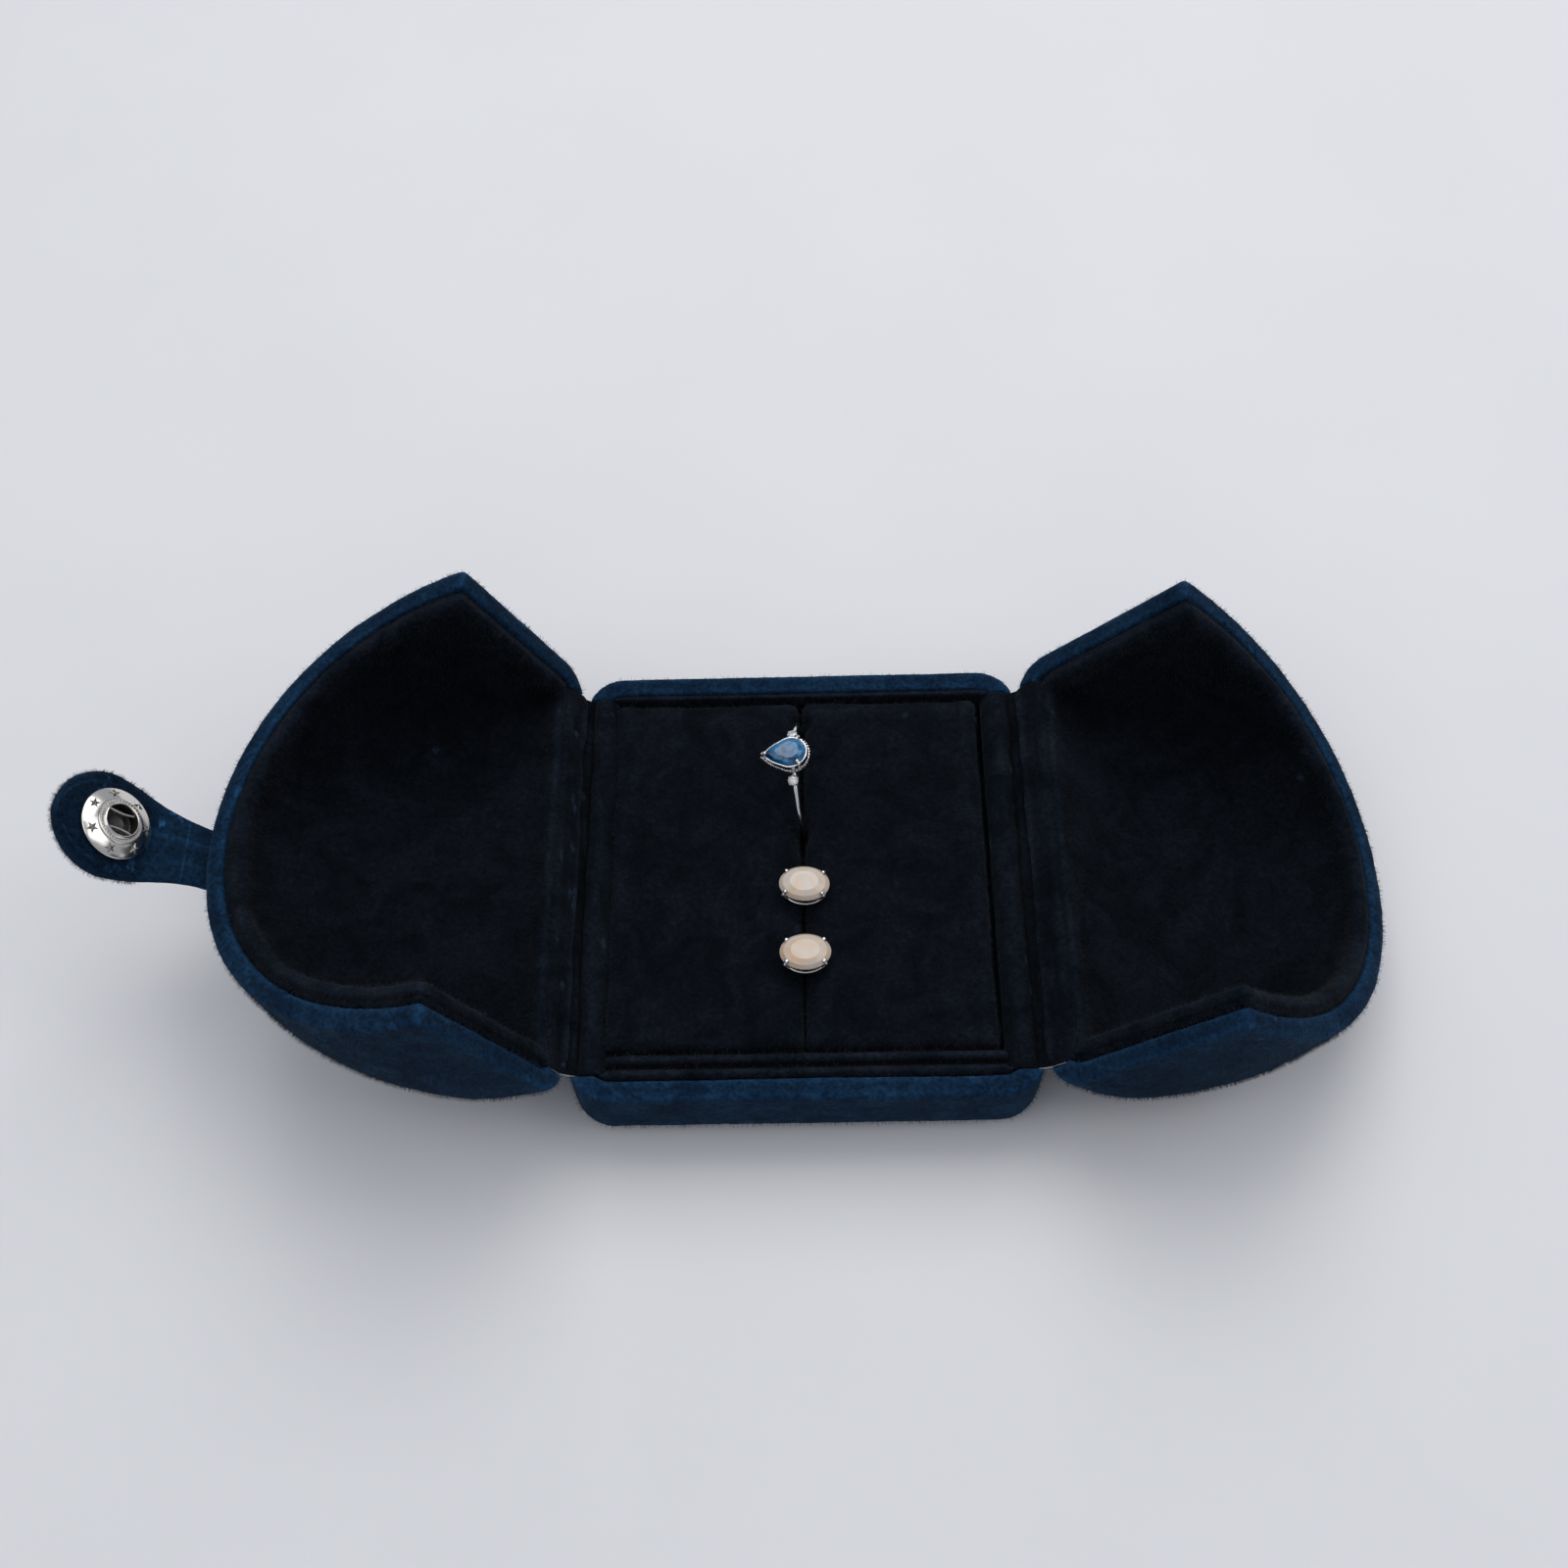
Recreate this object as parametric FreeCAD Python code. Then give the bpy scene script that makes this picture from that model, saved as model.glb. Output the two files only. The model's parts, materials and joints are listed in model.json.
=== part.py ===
"""Velvet jewelry gift box with two side doors, a buttoned strap and a slotted pad.

Frame: origin at the centre of the base's underside, +X to the right door, +Y to the back, +Z up.
Every door part is modelled shut, on the left of the X = 0 plane, then mirrored if it belongs to the
right door, and last of all swung open to the resting pose. All sizes are in millimetres.
"""
import FreeCAD
import Part
import math
import os

from FreeCAD import Vector

# ---- driving dimensions -------------------------------------------------------------------------
HINGE_X = 36.0            # hinge axis, out from the middle
HINGE_Z = 16.0            # hinge axis, up from the table
HALF_Y = 37.7             # half of the box's outside depth
BASE_HALF_X = 36.3        # half of the base's outside width
PLAN_ROUND = 6.5          # corner radius seen from above
BASE_EDGE_ROUND = 5.0     # radius round the base's bottom edge
DOME_HEIGHT = 45.0        # shut doors above the rim
MEET_GAP = 0.15           # each shut door stops this far from the middle plane
RIM_GAP = 0.1             # shut doors above the hinge plane, and the base rim below it
LEFT_OPEN = 115.5         # resting angle of the left door from shut
RIGHT_OPEN = 133.8        # resting angle of the right door from shut

# the arch of the doors: a superellipse that turns from round at the middle to square at the hinge
ARCH_POWER_MEET = 2.06
ARCH_POWER_HINGE = 4.8
ARCH_POWER_EASE = 1.3
ARCH_STATIONS = 17
ARCH_POINTS = 33

# layers, each figure the distance in from the outside
COVER = 0.8
SHELL_OUT, SHELL_IN = 0.85, 2.85
RETURN_OUT, RETURN_IN = 2.9, 3.4      # where the cover turns in over the rim
RETURN_DEPTH = 3.3
INSERT_OUT = 3.45
LINING_IN = 5.95
LINING = 0.75
BASE_SHELL_IN = 2.65
FIT = 0.03                # room between layers that are glued together

# hinge: a clear plastic strip and a velvet strip over the side walls
STRIP_HALF_Y = 33.4
STRIP_START = 0.6         # in from the hinge axis
STRIP_END = 3.6
STRIP_SPACE = 1.3         # height cleared for both strips
STRIP_GAP = 0.05          # above and below the strips
NOTCH_MARGIN = 0.2        # past the strips' inner edge
PLASTIC = 0.4
STRIP_LEG = 0.6           # thickness of the velvet's leg down the tray's or up the door's inside
LEG_DEPTH = 3.5
LEG_SHORTER = 4.0         # the leg ends this far short of the strip at each end
BASE_LEG_DEPTH = 5.0
INSERT_CLEAR = 3.6        # the door's insert stops this far above the hinge side's rim
INSERT_FROM_LEG = 3.0     # and this far past the strip's inner edge

# tray frame and pad
FRAME_TOP = 15.85
FRAME_SIDE_TOP = 14.6
FRAME_X = (32.3, 31.0)    # outside and inside half widths
FRAME_Y_OUT = 34.2
FRAME_Y_BACK, FRAME_Y_FRONT = 33.0, -30.3
FRAME_ROUND = 2.4
PAD_TOP = 15.6
PAD_BOARD_Z = (2.75, 3.35)
PAD_FOAM_Z = 3.4
PAD_LEFT, PAD_RIGHT = -30.7, 29.4
PAD_SLIT = 0.08           # half of the slit between the two pad halves
PAD_FRONT, PAD_BACK = -30.0, 32.7
PAD_EDGE_ROUND = 1.6
PAD_SLIT_ROUND = 0.6
PAD_COVER = 0.7
POST_HOLE_R, POST_HOLE_FLOOR = 0.6, 4.5

# strap, in its own frame: u along it from the root seam, w through it, 0 at mid thickness
STRAP_SEAM_X = -4.0       # the root seam, with the box shut
STRAP_STUD_X = 10.65      # the stud on the right door, with the box shut
STRAP_REST_RISE = 34.5    # rest angle above the shut strap's level line
STRAP_TIP_CURL = 21.5     # the head stays curled this much towards its inner face
STRAP_LIFT = 1.0          # seam height above the door
STRAP_HALF_T = 0.95
STRAP_LAYER = 0.68
STRAP_CORE = 0.25
STRAP_NECK = 5.1          # half width at the neck
STRAP_HEAD_R = 8.5
STRAP_HEAD_PAST = 0.8     # centre of the round head past the button
STRAP_TIP_BACK = 6.7      # from the tip bend to the button
STRAP_START_U = 0.6
HEAD_TOUCH = 100.0        # angle on the head where the flare meets it
HEAD_TOUCH_PULL = 0.6
FLARE_RISE = 0.31         # the flare's rise halfway along
STRAP_FLARE_U = 3.0       # where the neck starts to flare
STRAP_GAP = 0.4
TAB_LENGTH = 9.0
TAB_T = 1.0
TAB_HALF_Y = 4.9
GLUE = 0.05

# snap fastener
SNAP_STAND = 3.5          # strap face above the right door's velvet when snapped shut
SOCKET_R = 5.7
SOCKET_T = 2.5
SOCKET_HOLE_R = 2.45
SOCKET_BEAD_RING_R = 3.15
SOCKET_BEADS = 28
SOCKET_STARS = 6
SPRING_WIRE_R = 0.22
SPRING_OFFSET = 1.6
SPRING_HEIGHT = 0.75       # wires above the socket's face
STUD_NECK_R = 1.3
STUD_BALL_R = 1.65
CAP_R = 6.0
RIVET_R = 1.1
RIVET_ROOM = 0.08
RIVET_PLATE_R = 4.4
RIVET_PLATE_LOW, RIVET_PLATE_HIGH = -4.0, -3.4    # heights from the stud's seat
STAR_POINTS = 5
STAR_WAIST = 0.42         # inner radius of a star, as a share of its outer radius

# jewelry on show
RING_R_OUT, RING_R_IN, RING_WIDTH = 10.15, 8.8, 1.7
RING_Y, RING_Z = 17.8, 13.05
RING_LEAN = 10.0
RING_NOD = 4.0            # the head's turn towards the front
SLOT_R, SLOT_HALF_T = 10.35, 1.3
PEAR_ROUND_R, PEAR_TIP = 2.5, 4.4
HEAD_Z = RING_R_OUT + 2.2      # the pear's girdle above the ring's centre
SIDE_GEM_ANGLE = 22.0
SIDE_GEM_R = 0.75
EARRING_X = 0.2
EARRING_YS = (-3.4, -15.1)
OPAL_A, OPAL_B = 4.0, 3.0
OPAL_GIRDLE_Z = 18.7
EARRING_TURNS = (-4.0, 0.0)
POST_R, POST_DEPTH = 0.4, 11.5

FAR = 200.0
UP = Vector(0, 0, 1)
TOUCH = 1e-6              # two heights closer than this are the same


# ---- helpers ------------------------------------------------------------------------------------
def box(x0, x1, y0, y1, z0, z1):
    return Part.makeBox(x1 - x0, y1 - y0, z1 - z0, Vector(x0, y0, z0))


def cylinder(radius, start, axis, length):
    return Part.makeCylinder(radius, length, start, axis)


def rounded_block(half_x, half_y, z0, z1, plan_round, edge_round=0.0):
    """A block with rounded corners in plan and, where asked, a rounded bottom edge."""
    block = box(-half_x, half_x, -half_y, half_y, z0, z1)
    upright = [e for e in block.Edges if abs(e.tangentAt(e.FirstParameter).z) > 0.9]
    block = block.makeFillet(plan_round, upright)
    if edge_round:
        low = [e for e in block.Edges if e.BoundBox.ZMax < z0 + 1e-6]
        block = block.makeFillet(edge_round, low)
    return block


def fused(shapes):
    """One solid from many that touch or overlap."""
    whole = shapes[0].fuse(shapes[1:]) if len(shapes) > 1 else shapes[0]
    return whole.removeSplitter()


def polyhedron(faces):
    """A solid from flat faces, each a list of corner points."""
    made = []
    for corners in faces:
        made.append(Part.Face(Part.makePolygon(list(corners) + [corners[0]])))
    shell = Part.makeShell(made)
    shell.sewShape()
    solid = Part.makeSolid(shell)
    if solid.Volume < 0:
        solid.reverse()
    return solid


def ring_facets(low, high):
    """Triangles between two rings of points that have the same count."""
    faces = []
    count = len(low)
    for i in range(count):
        j = (i + 1) % count
        faces.append([low[i], low[j], high[i]])
        faces.append([low[j], high[j], high[i]])
    return faces


# ---- the doors' outside form, shut, left of the middle plane ------------------------------------
RIM_Z = HINGE_Z + RIM_GAP
BASE_TOP = HINGE_Z - RIM_GAP


def dome(inset):
    """The block under the dome, its rounded side moved in by inset. It reaches the middle and the rim."""
    depth = HINGE_X - MEET_GAP - inset
    height = DOME_HEIGHT - RIM_GAP - inset
    half = HALF_Y - inset
    corner = max(PLAN_ROUND - inset, 1.0)
    grid = []
    for i in range(ARCH_STATIONS):
        turn = 0.5 * math.pi * i / (ARCH_STATIONS - 1)
        back = math.sin(turn)
        tall = height * math.cos(turn)
        power = ARCH_POWER_MEET + (ARCH_POWER_HINGE - ARCH_POWER_MEET) * back ** ARCH_POWER_EASE
        past = max(0.0, depth * back - (depth - corner))
        wide = half - corner + math.sqrt(max(corner ** 2 - past ** 2, 0.0))
        row = []
        for k in range(ARCH_POINTS):
            angle = math.pi * k / (ARCH_POINTS - 1)
            across, up = math.cos(angle), math.sin(angle)
            if k in (0, ARCH_POINTS - 1):
                up = 0.0
            reach = (abs(across) ** power + abs(up) ** power) ** (-1.0 / power)
            row.append(Vector(-MEET_GAP - depth * back, wide * reach * across,
                              RIM_Z + tall * reach * up))
        grid.append(row)
    grid[-1] = [Vector(p.x, p.y, RIM_Z) for p in grid[-1]]
    surface = Part.BSplineSurface()
    surface.interpolate(grid)
    u0, u1, v0, v1 = surface.bounds()
    meet_edge = surface.uIso(u0).toShape()
    hinge_edge = surface.uIso(u1).toShape()
    front_edge = surface.vIso(v1).toShape()
    back_edge = surface.vIso(v0).toShape()
    across_meet = Part.makeLine(grid[0][-1], grid[0][0])
    meet_face = Part.Face(Part.Wire(Part.__sortEdges__([meet_edge, across_meet])))
    rim_edges = Part.__sortEdges__([back_edge, hinge_edge, front_edge, across_meet])
    shell = Part.makeShell([surface.toShape(), meet_face, Part.Face(Part.Wire(rim_edges))])
    shell.sewShape()
    solid = Part.makeSolid(shell)
    if solid.Volume < 0:
        solid.reverse()
    return solid


def back_from_rim(shape, distance):
    """shape without the part that lies within distance of the middle plane or the rim."""
    keep = box(-FAR, -MEET_GAP - distance, -FAR, FAR, RIM_Z + distance, FAR)
    return shape.common(keep)


def near_rim(shape, start, end):
    """The part of shape between start and end in from the middle plane or the rim."""
    return back_from_rim(shape, start).cut(back_from_rim(shape, end))


def hinge_notch():
    """The space above the door's hinge-side rim that the two hinge strips need."""
    half_y = STRIP_HALF_Y + 0.1
    return box(-FAR, -HINGE_X + STRIP_END + NOTCH_MARGIN, -half_y, half_y, 0, RIM_Z + STRIP_SPACE)


def below_insert(past_strip, above_rim):
    return box(-FAR, -HINGE_X + STRIP_END + past_strip, -FAR, FAR, 0, RIM_Z + above_rim)


def insert_notch():
    """Clears the door's padded insert from the hinge strip's turned-up leg."""
    return below_insert(INSERT_FROM_LEG, INSERT_CLEAR)


def door_parts():
    """Cover, shell, foam and lining of a door, shut, on the left."""
    outside = dome(0.0)
    through = dome(RETURN_IN)
    turned_in = near_rim(dome(RETURN_OUT), COVER, RETURN_DEPTH).cut(through)
    cover = outside.cut(back_from_rim(dome(COVER), COVER)).cut(through)
    cover = fused([cover, turned_in]).cut(hinge_notch())
    shell = back_from_rim(dome(SHELL_OUT), SHELL_OUT).cut(dome(SHELL_IN)).cut(hinge_notch())
    insert = dome(INSERT_OUT)
    foam_from_strip = INSERT_FROM_LEG + LINING + FIT
    foam = back_from_rim(insert, LINING + FIT).cut(dome(LINING_IN - LINING - FIT))
    foam = foam.cut(below_insert(foam_from_strip, INSERT_CLEAR + LINING))
    foam_room = back_from_rim(insert, LINING).cut(dome(LINING_IN - LINING))
    foam_room = foam_room.cut(below_insert(foam_from_strip, INSERT_CLEAR + LINING - FIT))
    lining = insert.cut(dome(LINING_IN)).cut(insert_notch()).cut(foam_room)
    return {"velvet_cover": cover, "shell": shell, "foam": foam, "lining": lining}


def hinge_strip_box(start, end, low, high, shorter=0.0):
    """A box over the left hinge, from start to end in from the hinge axis."""
    half_y = STRIP_HALF_Y - shorter
    return box(-HINGE_X + start, -HINGE_X + end, -half_y, half_y, low, high)


def hinge_strips():
    """The plastic strip's and the lining strip's two halves, shut, on the left."""
    plastic_end = STRIP_END - NOTCH_MARGIN
    lining_start = STRIP_START - 0.3
    leg_start = STRIP_END - STRIP_GAP
    leg_end = leg_start + STRIP_LEG

    plastic_low = BASE_TOP - STRIP_SPACE + STRIP_GAP
    plastic_base = hinge_strip_box(STRIP_START, plastic_end, plastic_low, plastic_low + PLASTIC)
    plastic_high = RIM_Z + STRIP_SPACE - STRIP_GAP
    plastic_door = hinge_strip_box(STRIP_START, plastic_end, plastic_high - PLASTIC, plastic_high)

    base_high = BASE_TOP - STRIP_GAP
    flat = hinge_strip_box(lining_start, STRIP_END, base_high - LINING, base_high)
    leg = hinge_strip_box(leg_start, leg_end, base_high - BASE_LEG_DEPTH, base_high, LEG_SHORTER)
    lining_base = fused([flat, leg])

    door_low = RIM_Z + STRIP_GAP
    flat = hinge_strip_box(lining_start, STRIP_END, door_low, door_low + LINING)
    leg = hinge_strip_box(leg_start, leg_end, door_low, RIM_Z + LEG_DEPTH, LEG_SHORTER)
    return plastic_base, plastic_door, lining_base, fused([flat, leg])


# ---- base ---------------------------------------------------------------------------------------
def base_block(inset, top):
    return rounded_block(BASE_HALF_X - inset, HALF_Y - inset, inset, top,
                         PLAN_ROUND - inset, BASE_EDGE_ROUND - inset)


def base_prism(inset, z0, z1):
    return rounded_block(BASE_HALF_X - inset, HALF_Y - inset, z0, z1, PLAN_ROUND - inset)


def side_wall_notches():
    """Room in the base's side walls for the hinge strips and their legs."""
    flat = hinge_strip_box(-FAR, STRIP_END + NOTCH_MARGIN, BASE_TOP - STRIP_SPACE, FAR, -0.1)
    leg = hinge_strip_box(STRIP_END - 0.3, STRIP_END + 0.8, BASE_TOP - BASE_LEG_DEPTH - 0.1, FAR,
                          LEG_SHORTER - NOTCH_MARGIN)
    left = fused([flat, leg])
    return fused([left, left.mirror(Vector(), Vector(1, 0, 0))])


def base_parts():
    """Velvet cover, turned in over the rim, and the shell inside it."""
    cavity = base_prism(RETURN_IN, BASE_SHELL_IN, FAR)
    cover = base_block(0.0, BASE_TOP).cut(base_block(COVER, BASE_TOP - COVER)).cut(cavity)
    turned_in = base_prism(RETURN_OUT, BASE_TOP - RETURN_DEPTH, BASE_TOP - COVER).cut(cavity)
    cover = fused([cover, turned_in]).cut(side_wall_notches())
    hollow = base_prism(SHELL_IN, BASE_SHELL_IN, FAR)
    shell = base_block(SHELL_OUT, BASE_TOP - SHELL_OUT).cut(hollow).cut(side_wall_notches())
    return {"base_velvet_cover": cover, "base_shell": shell}


def tray_frame():
    """The velvet-covered frame round the pad, wider in front than behind."""
    outside = box(-FRAME_X[0], FRAME_X[0], -FRAME_Y_OUT, FRAME_Y_OUT, PAD_BOARD_Z[0], FRAME_TOP)
    inside = box(-FRAME_X[1], FRAME_X[1], FRAME_Y_FRONT, FRAME_Y_BACK, 0, FAR)
    frame = outside.cut(inside)
    corners = [e for e in frame.Edges if abs(e.tangentAt(e.FirstParameter).z) > 0.9
               and abs(e.CenterOfMass.x) > FRAME_X[0] - 0.1]
    frame = frame.makeFillet(FRAME_ROUND, corners)
    for side in (-1, 1):
        x0, x1 = sorted((side * (FRAME_X[1] - 0.5), side * (FRAME_X[0] + 0.5)))
        frame = frame.cut(box(x0, x1, FRAME_Y_FRONT - 3.0, FRAME_Y_BACK, FRAME_SIDE_TOP, FAR))
    return frame.cut(side_wall_notches())


def ring_pose(shape):
    """From the ring's own frame, with its axis along X and its centre at the origin, to its place."""
    shape.rotate(Vector(), Vector(1, 0, 0), RING_NOD)
    shape.rotate(Vector(), Vector(0, 1, 0), -RING_LEAN)
    shape.translate(Vector(math.tan(math.radians(RING_LEAN)) * (PAD_TOP - RING_Z), RING_Y, RING_Z))
    return shape


def ring_slot():
    """The leaning slot that the ring stands in."""
    disc = cylinder(SLOT_R, Vector(-SLOT_HALF_T, 0, 0), Vector(1, 0, 0), 2 * SLOT_HALF_T)
    way_in = box(-SLOT_HALF_T, SLOT_HALF_T, -SLOT_R, SLOT_R, 0, 14.0)
    return ring_pose(fused([disc, way_in]))


def earring_holes():
    """Holes in the slit for the two earring posts."""
    return [cylinder(POST_HOLE_R, Vector(EARRING_X, y, POST_HOLE_FLOOR), UP, PAD_TOP) for y in EARRING_YS]


def edges_at_top(shape, top):
    return [e for e in shape.Edges if e.BoundBox.ZMin > top - TOUCH]


def pad_half(x0, x1):
    """Cover and foam of one half of the pad, rounded less along the slit than round the outside."""
    block = box(x0, x1, PAD_FRONT, PAD_BACK, PAD_FOAM_Z, PAD_TOP)
    outside = [e for e in edges_at_top(block, PAD_TOP) if abs(e.CenterOfMass.x) > PAD_EDGE_ROUND]
    block = block.makeFillet(PAD_EDGE_ROUND, outside)
    slit = [e for e in edges_at_top(block, PAD_TOP) if abs(e.CenterOfMass.x) < PAD_EDGE_ROUND / 2]
    block = block.makeFillet(PAD_SLIT_ROUND, slit)
    core_top = PAD_TOP - PAD_COVER
    core = box(x0 + PAD_COVER, x1 - PAD_COVER, PAD_FRONT + PAD_COVER, PAD_BACK - PAD_COVER,
               PAD_FOAM_Z, core_top)
    core = core.makeFillet(PAD_EDGE_ROUND - PAD_COVER, edges_at_top(core, core_top))
    cutters = [ring_slot()] + earring_holes()
    return block.cut(core).cut(cutters), core.cut(cutters)


def pad_board():
    """Card under the pad, with the ring's slot through it."""
    board = box(-FRAME_X[1] + 0.2, FRAME_X[1] - 0.2, FRAME_Y_FRONT + 0.1, FRAME_Y_BACK - 0.1, *PAD_BOARD_Z)
    return board.cut(ring_slot())


# ---- strap --------------------------------------------------------------------------------------
def dome_top(x):
    """Height of the shut dome's outside over the middle line, at x."""
    across = (abs(x) - MEET_GAP) / (HINGE_X - MEET_GAP)
    return RIM_Z + (DOME_HEIGHT - RIM_GAP) * math.sqrt(1.0 - across ** 2)


def dome_slope(x):
    """Slope angle of the shut dome's outside over the middle line, in degrees, at x > 0."""
    step = 0.01
    return math.degrees(math.atan2(dome_top(x + step) - dome_top(x - step), 2 * step))


SEAM = Vector(STRAP_SEAM_X, 0, dome_top(STRAP_SEAM_X) + STRAP_LIFT)
STUD_SLOPE = dome_slope(STRAP_STUD_X)
STUD_AXIS = Vector(-math.sin(math.radians(STUD_SLOPE)), 0, math.cos(math.radians(STUD_SLOPE)))
STUD_ALONG = Vector(math.cos(math.radians(STUD_SLOPE)), 0, math.sin(math.radians(STUD_SLOPE)))
STUD_FOOT = Vector(STRAP_STUD_X, 0, dome_top(STRAP_STUD_X))
TIP_BEND_SHUT = STUD_FOOT + STUD_AXIS * (SNAP_STAND + STRAP_HALF_T) - STUD_ALONG * STRAP_TIP_BACK
MID_LENGTH = (TIP_BEND_SHUT - SEAM).Length
BUTTON_U = MID_LENGTH + STRAP_TIP_BACK


def strap_place(shape, span="mid"):
    """From the strap's own frame to the shut box, with the strap at its resting rise and curl."""
    if span == "tip":
        shape.rotate(Vector(MID_LENGTH, 0, 0), Vector(0, 1, 0), STRAP_TIP_CURL)
    shape.rotate(Vector(), Vector(0, 1, 0), -STRAP_REST_RISE)
    shape.translate(SEAM)
    return shape


def strap_outline(trim):
    """The strap's outline in the u, v plane, moved in by trim: a neck that flares into a round head."""
    neck, head = STRAP_NECK - trim, STRAP_HEAD_R - trim
    head_u = BUTTON_U + STRAP_HEAD_PAST

    def on_head(degrees):
        a = math.radians(degrees)
        return Vector(head_u + head * math.cos(a), head * math.sin(a), 0)

    touch, over, tip = on_head(HEAD_TOUCH), on_head(HEAD_TOUCH / 2), on_head(0)
    halfway = Vector((STRAP_FLARE_U + touch.x) / 2, neck + FLARE_RISE * (touch.y - neck), 0)
    flare = Part.BSplineCurve()
    flare.interpolate(Points=[Vector(STRAP_FLARE_U, neck, 0), halfway, touch], InitialTangent=Vector(1, 0, 0),
                      FinalTangent=Vector(touch.y, head_u - touch.x, 0) * HEAD_TOUCH_PULL)
    upper = [Part.makeLine(Vector(STRAP_START_U, neck, 0), Vector(STRAP_FLARE_U, neck, 0)), flare.toShape(),
             Part.Arc(touch, over, tip).toShape()]
    lower = [e.mirror(Vector(), Vector(0, 1, 0)) for e in upper]
    root = Part.makeLine(Vector(STRAP_START_U, -neck, 0), Vector(STRAP_START_U, neck, 0))
    return Part.Face(Part.Wire(Part.__sortEdges__(upper + lower + [root])))


def strap_layer(trim, w0, w1, u0, u1):
    """One layer of the strap between two places along it."""
    sheet = strap_outline(trim)
    sheet.translate(Vector(0, 0, w0))
    slab = sheet.extrude(Vector(0, 0, w1 - w0))
    part = slab.common(box(u0, u1, -FAR, FAR, -FAR, FAR))
    hole = cylinder(RIVET_R + RIVET_ROOM, Vector(BUTTON_U, 0, -STRAP_TIP_BACK), UP, 2 * STRAP_TIP_BACK)
    return part.cut(hole)


def strap_parts():
    """Outer velvet, stiffener and inner velvet of the strap's two lengths."""
    spans = {"mid": (STRAP_START_U, MID_LENGTH - STRAP_GAP), "tip": (MID_LENGTH + STRAP_GAP, FAR)}
    layers = {"outer_velvet": (0.0, STRAP_HALF_T - STRAP_LAYER, STRAP_HALF_T),
              "stiffener": (1.2, -STRAP_CORE, STRAP_CORE),
              "inner_velvet": (0.7, -STRAP_HALF_T, -STRAP_HALF_T + STRAP_LAYER)}
    made = {}
    for span, (u0, u1) in spans.items():
        for layer, (trim, w0, w1) in layers.items():
            made["strap_" + span + "_" + layer] = strap_place(strap_layer(trim, w0, w1, u0, u1), span)
    return made


def strap_tab():
    """The strap's glued end, which follows the left door's dome up to the root seam."""
    wrap = dome(-GLUE - TAB_T).cut(dome(-GLUE))
    end_x = STRAP_SEAM_X - 0.2
    return wrap.common(box(end_x - TAB_LENGTH, end_x, -TAB_HALF_Y, TAB_HALF_Y, RIM_Z, FAR))


# ---- snap fastener ------------------------------------------------------------------------------
def outline_face(corners):
    return Part.Face(Part.makePolygon(corners + [corners[0]]))


def revolved(points):
    """A turned solid from a closed outline of (radius, height) pairs."""
    return outline_face([Vector(r, 0, h) for r, h in points]).revolve(Vector(), UP, 360)


def star(radius, depth):
    """A five-pointed star plate."""
    corners = []
    for i in range(2 * STAR_POINTS):
        r = radius if i % 2 == 0 else radius * STAR_WAIST
        a = math.pi * i / STAR_POINTS
        corners.append(Vector(r * math.cos(a), r * math.sin(a), 0))
    return outline_face(corners).extrude(Vector(0, 0, depth))


def socket_local():
    """Spring socket in the strap's frame, its face at the lowest w. The stud enters from below."""
    face = -STRAP_HALF_T - SOCKET_T
    back = -STRAP_HALF_T - 0.03
    body = revolved([(SOCKET_HOLE_R, back - 0.35), (0.0, back - 0.35), (0.0, back), (SOCKET_R - 0.25, back),
                     (SOCKET_R, back - 0.3), (SOCKET_R, back - 0.75), (SOCKET_R - 0.35, back - 1.25),
                     (SOCKET_R - 1.1, back - 1.75), (SOCKET_BEAD_RING_R + 0.35, face + 0.45),
                     (SOCKET_BEAD_RING_R - 0.1, face + 0.2), (SOCKET_HOLE_R + 0.3, face),
                     (SOCKET_HOLE_R, face + 0.12)])
    extras = []
    for i in range(SOCKET_BEADS):
        a = 2 * math.pi * i / SOCKET_BEADS
        spot = Vector(SOCKET_BEAD_RING_R * math.cos(a), SOCKET_BEAD_RING_R * math.sin(a), face + 0.28)
        extras.append(Part.makeSphere(0.26, spot))
    for i in range(SOCKET_STARS):
        plate = star(0.85, 0.9)
        plate.rotate(Vector(), UP, 36)
        plate.translate(Vector(SOCKET_R - 1.35, 0, back - 1.95))
        plate.rotate(Vector(), UP, 360 * i / SOCKET_STARS + 15)
        extras.append(plate)
    body = body.fuse(extras)
    slots = []
    for side in (-1, 1):
        y0, y1 = sorted((side * (SPRING_OFFSET - 0.35), side * (SPRING_OFFSET + 0.85)))
        slots.append(box(-3.1, 3.1, y0, y1, face + SPRING_HEIGHT - 0.3, face + SPRING_HEIGHT + 0.3))
    body = body.cut(slots)
    body.translate(Vector(BUTTON_U, 0, 0))
    return body


def spring_wires_local():
    """The socket's two spring wires, one each side of the stud."""
    wires = []
    height = -STRAP_HALF_T - SOCKET_T + SPRING_HEIGHT
    for side in (-1, 1):
        wires.append(cylinder(SPRING_WIRE_R, Vector(BUTTON_U - 2.9, side * SPRING_OFFSET, height),
                              Vector(1, 0, 0), 5.8))
    return wires


def cap_local():
    """Cap on the strap's outer face, with the rivet that holds the socket."""
    low = STRAP_HALF_T + 0.03
    cap = revolved([(0, low), (CAP_R - 0.2, low), (CAP_R, low + 0.25), (CAP_R - 0.15, low + 0.6),
                    (CAP_R - 1.2, low + 1.15), (CAP_R - 2.8, low + 1.5), (0, low + 1.65)])
    rivet = cylinder(RIVET_R, Vector(0, 0, -STRAP_HALF_T), UP, 2 * STRAP_HALF_T + 0.1)
    cap = fused([cap, rivet])
    cap.translate(Vector(BUTTON_U, 0, 0))
    return cap


def stud_place(shape):
    """From a frame with +Z out of the shut right door's stud seat to the shut box."""
    shape.rotate(Vector(), Vector(0, 1, 0), -STUD_SLOPE)
    shape.translate(STUD_FOOT)
    return shape


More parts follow.
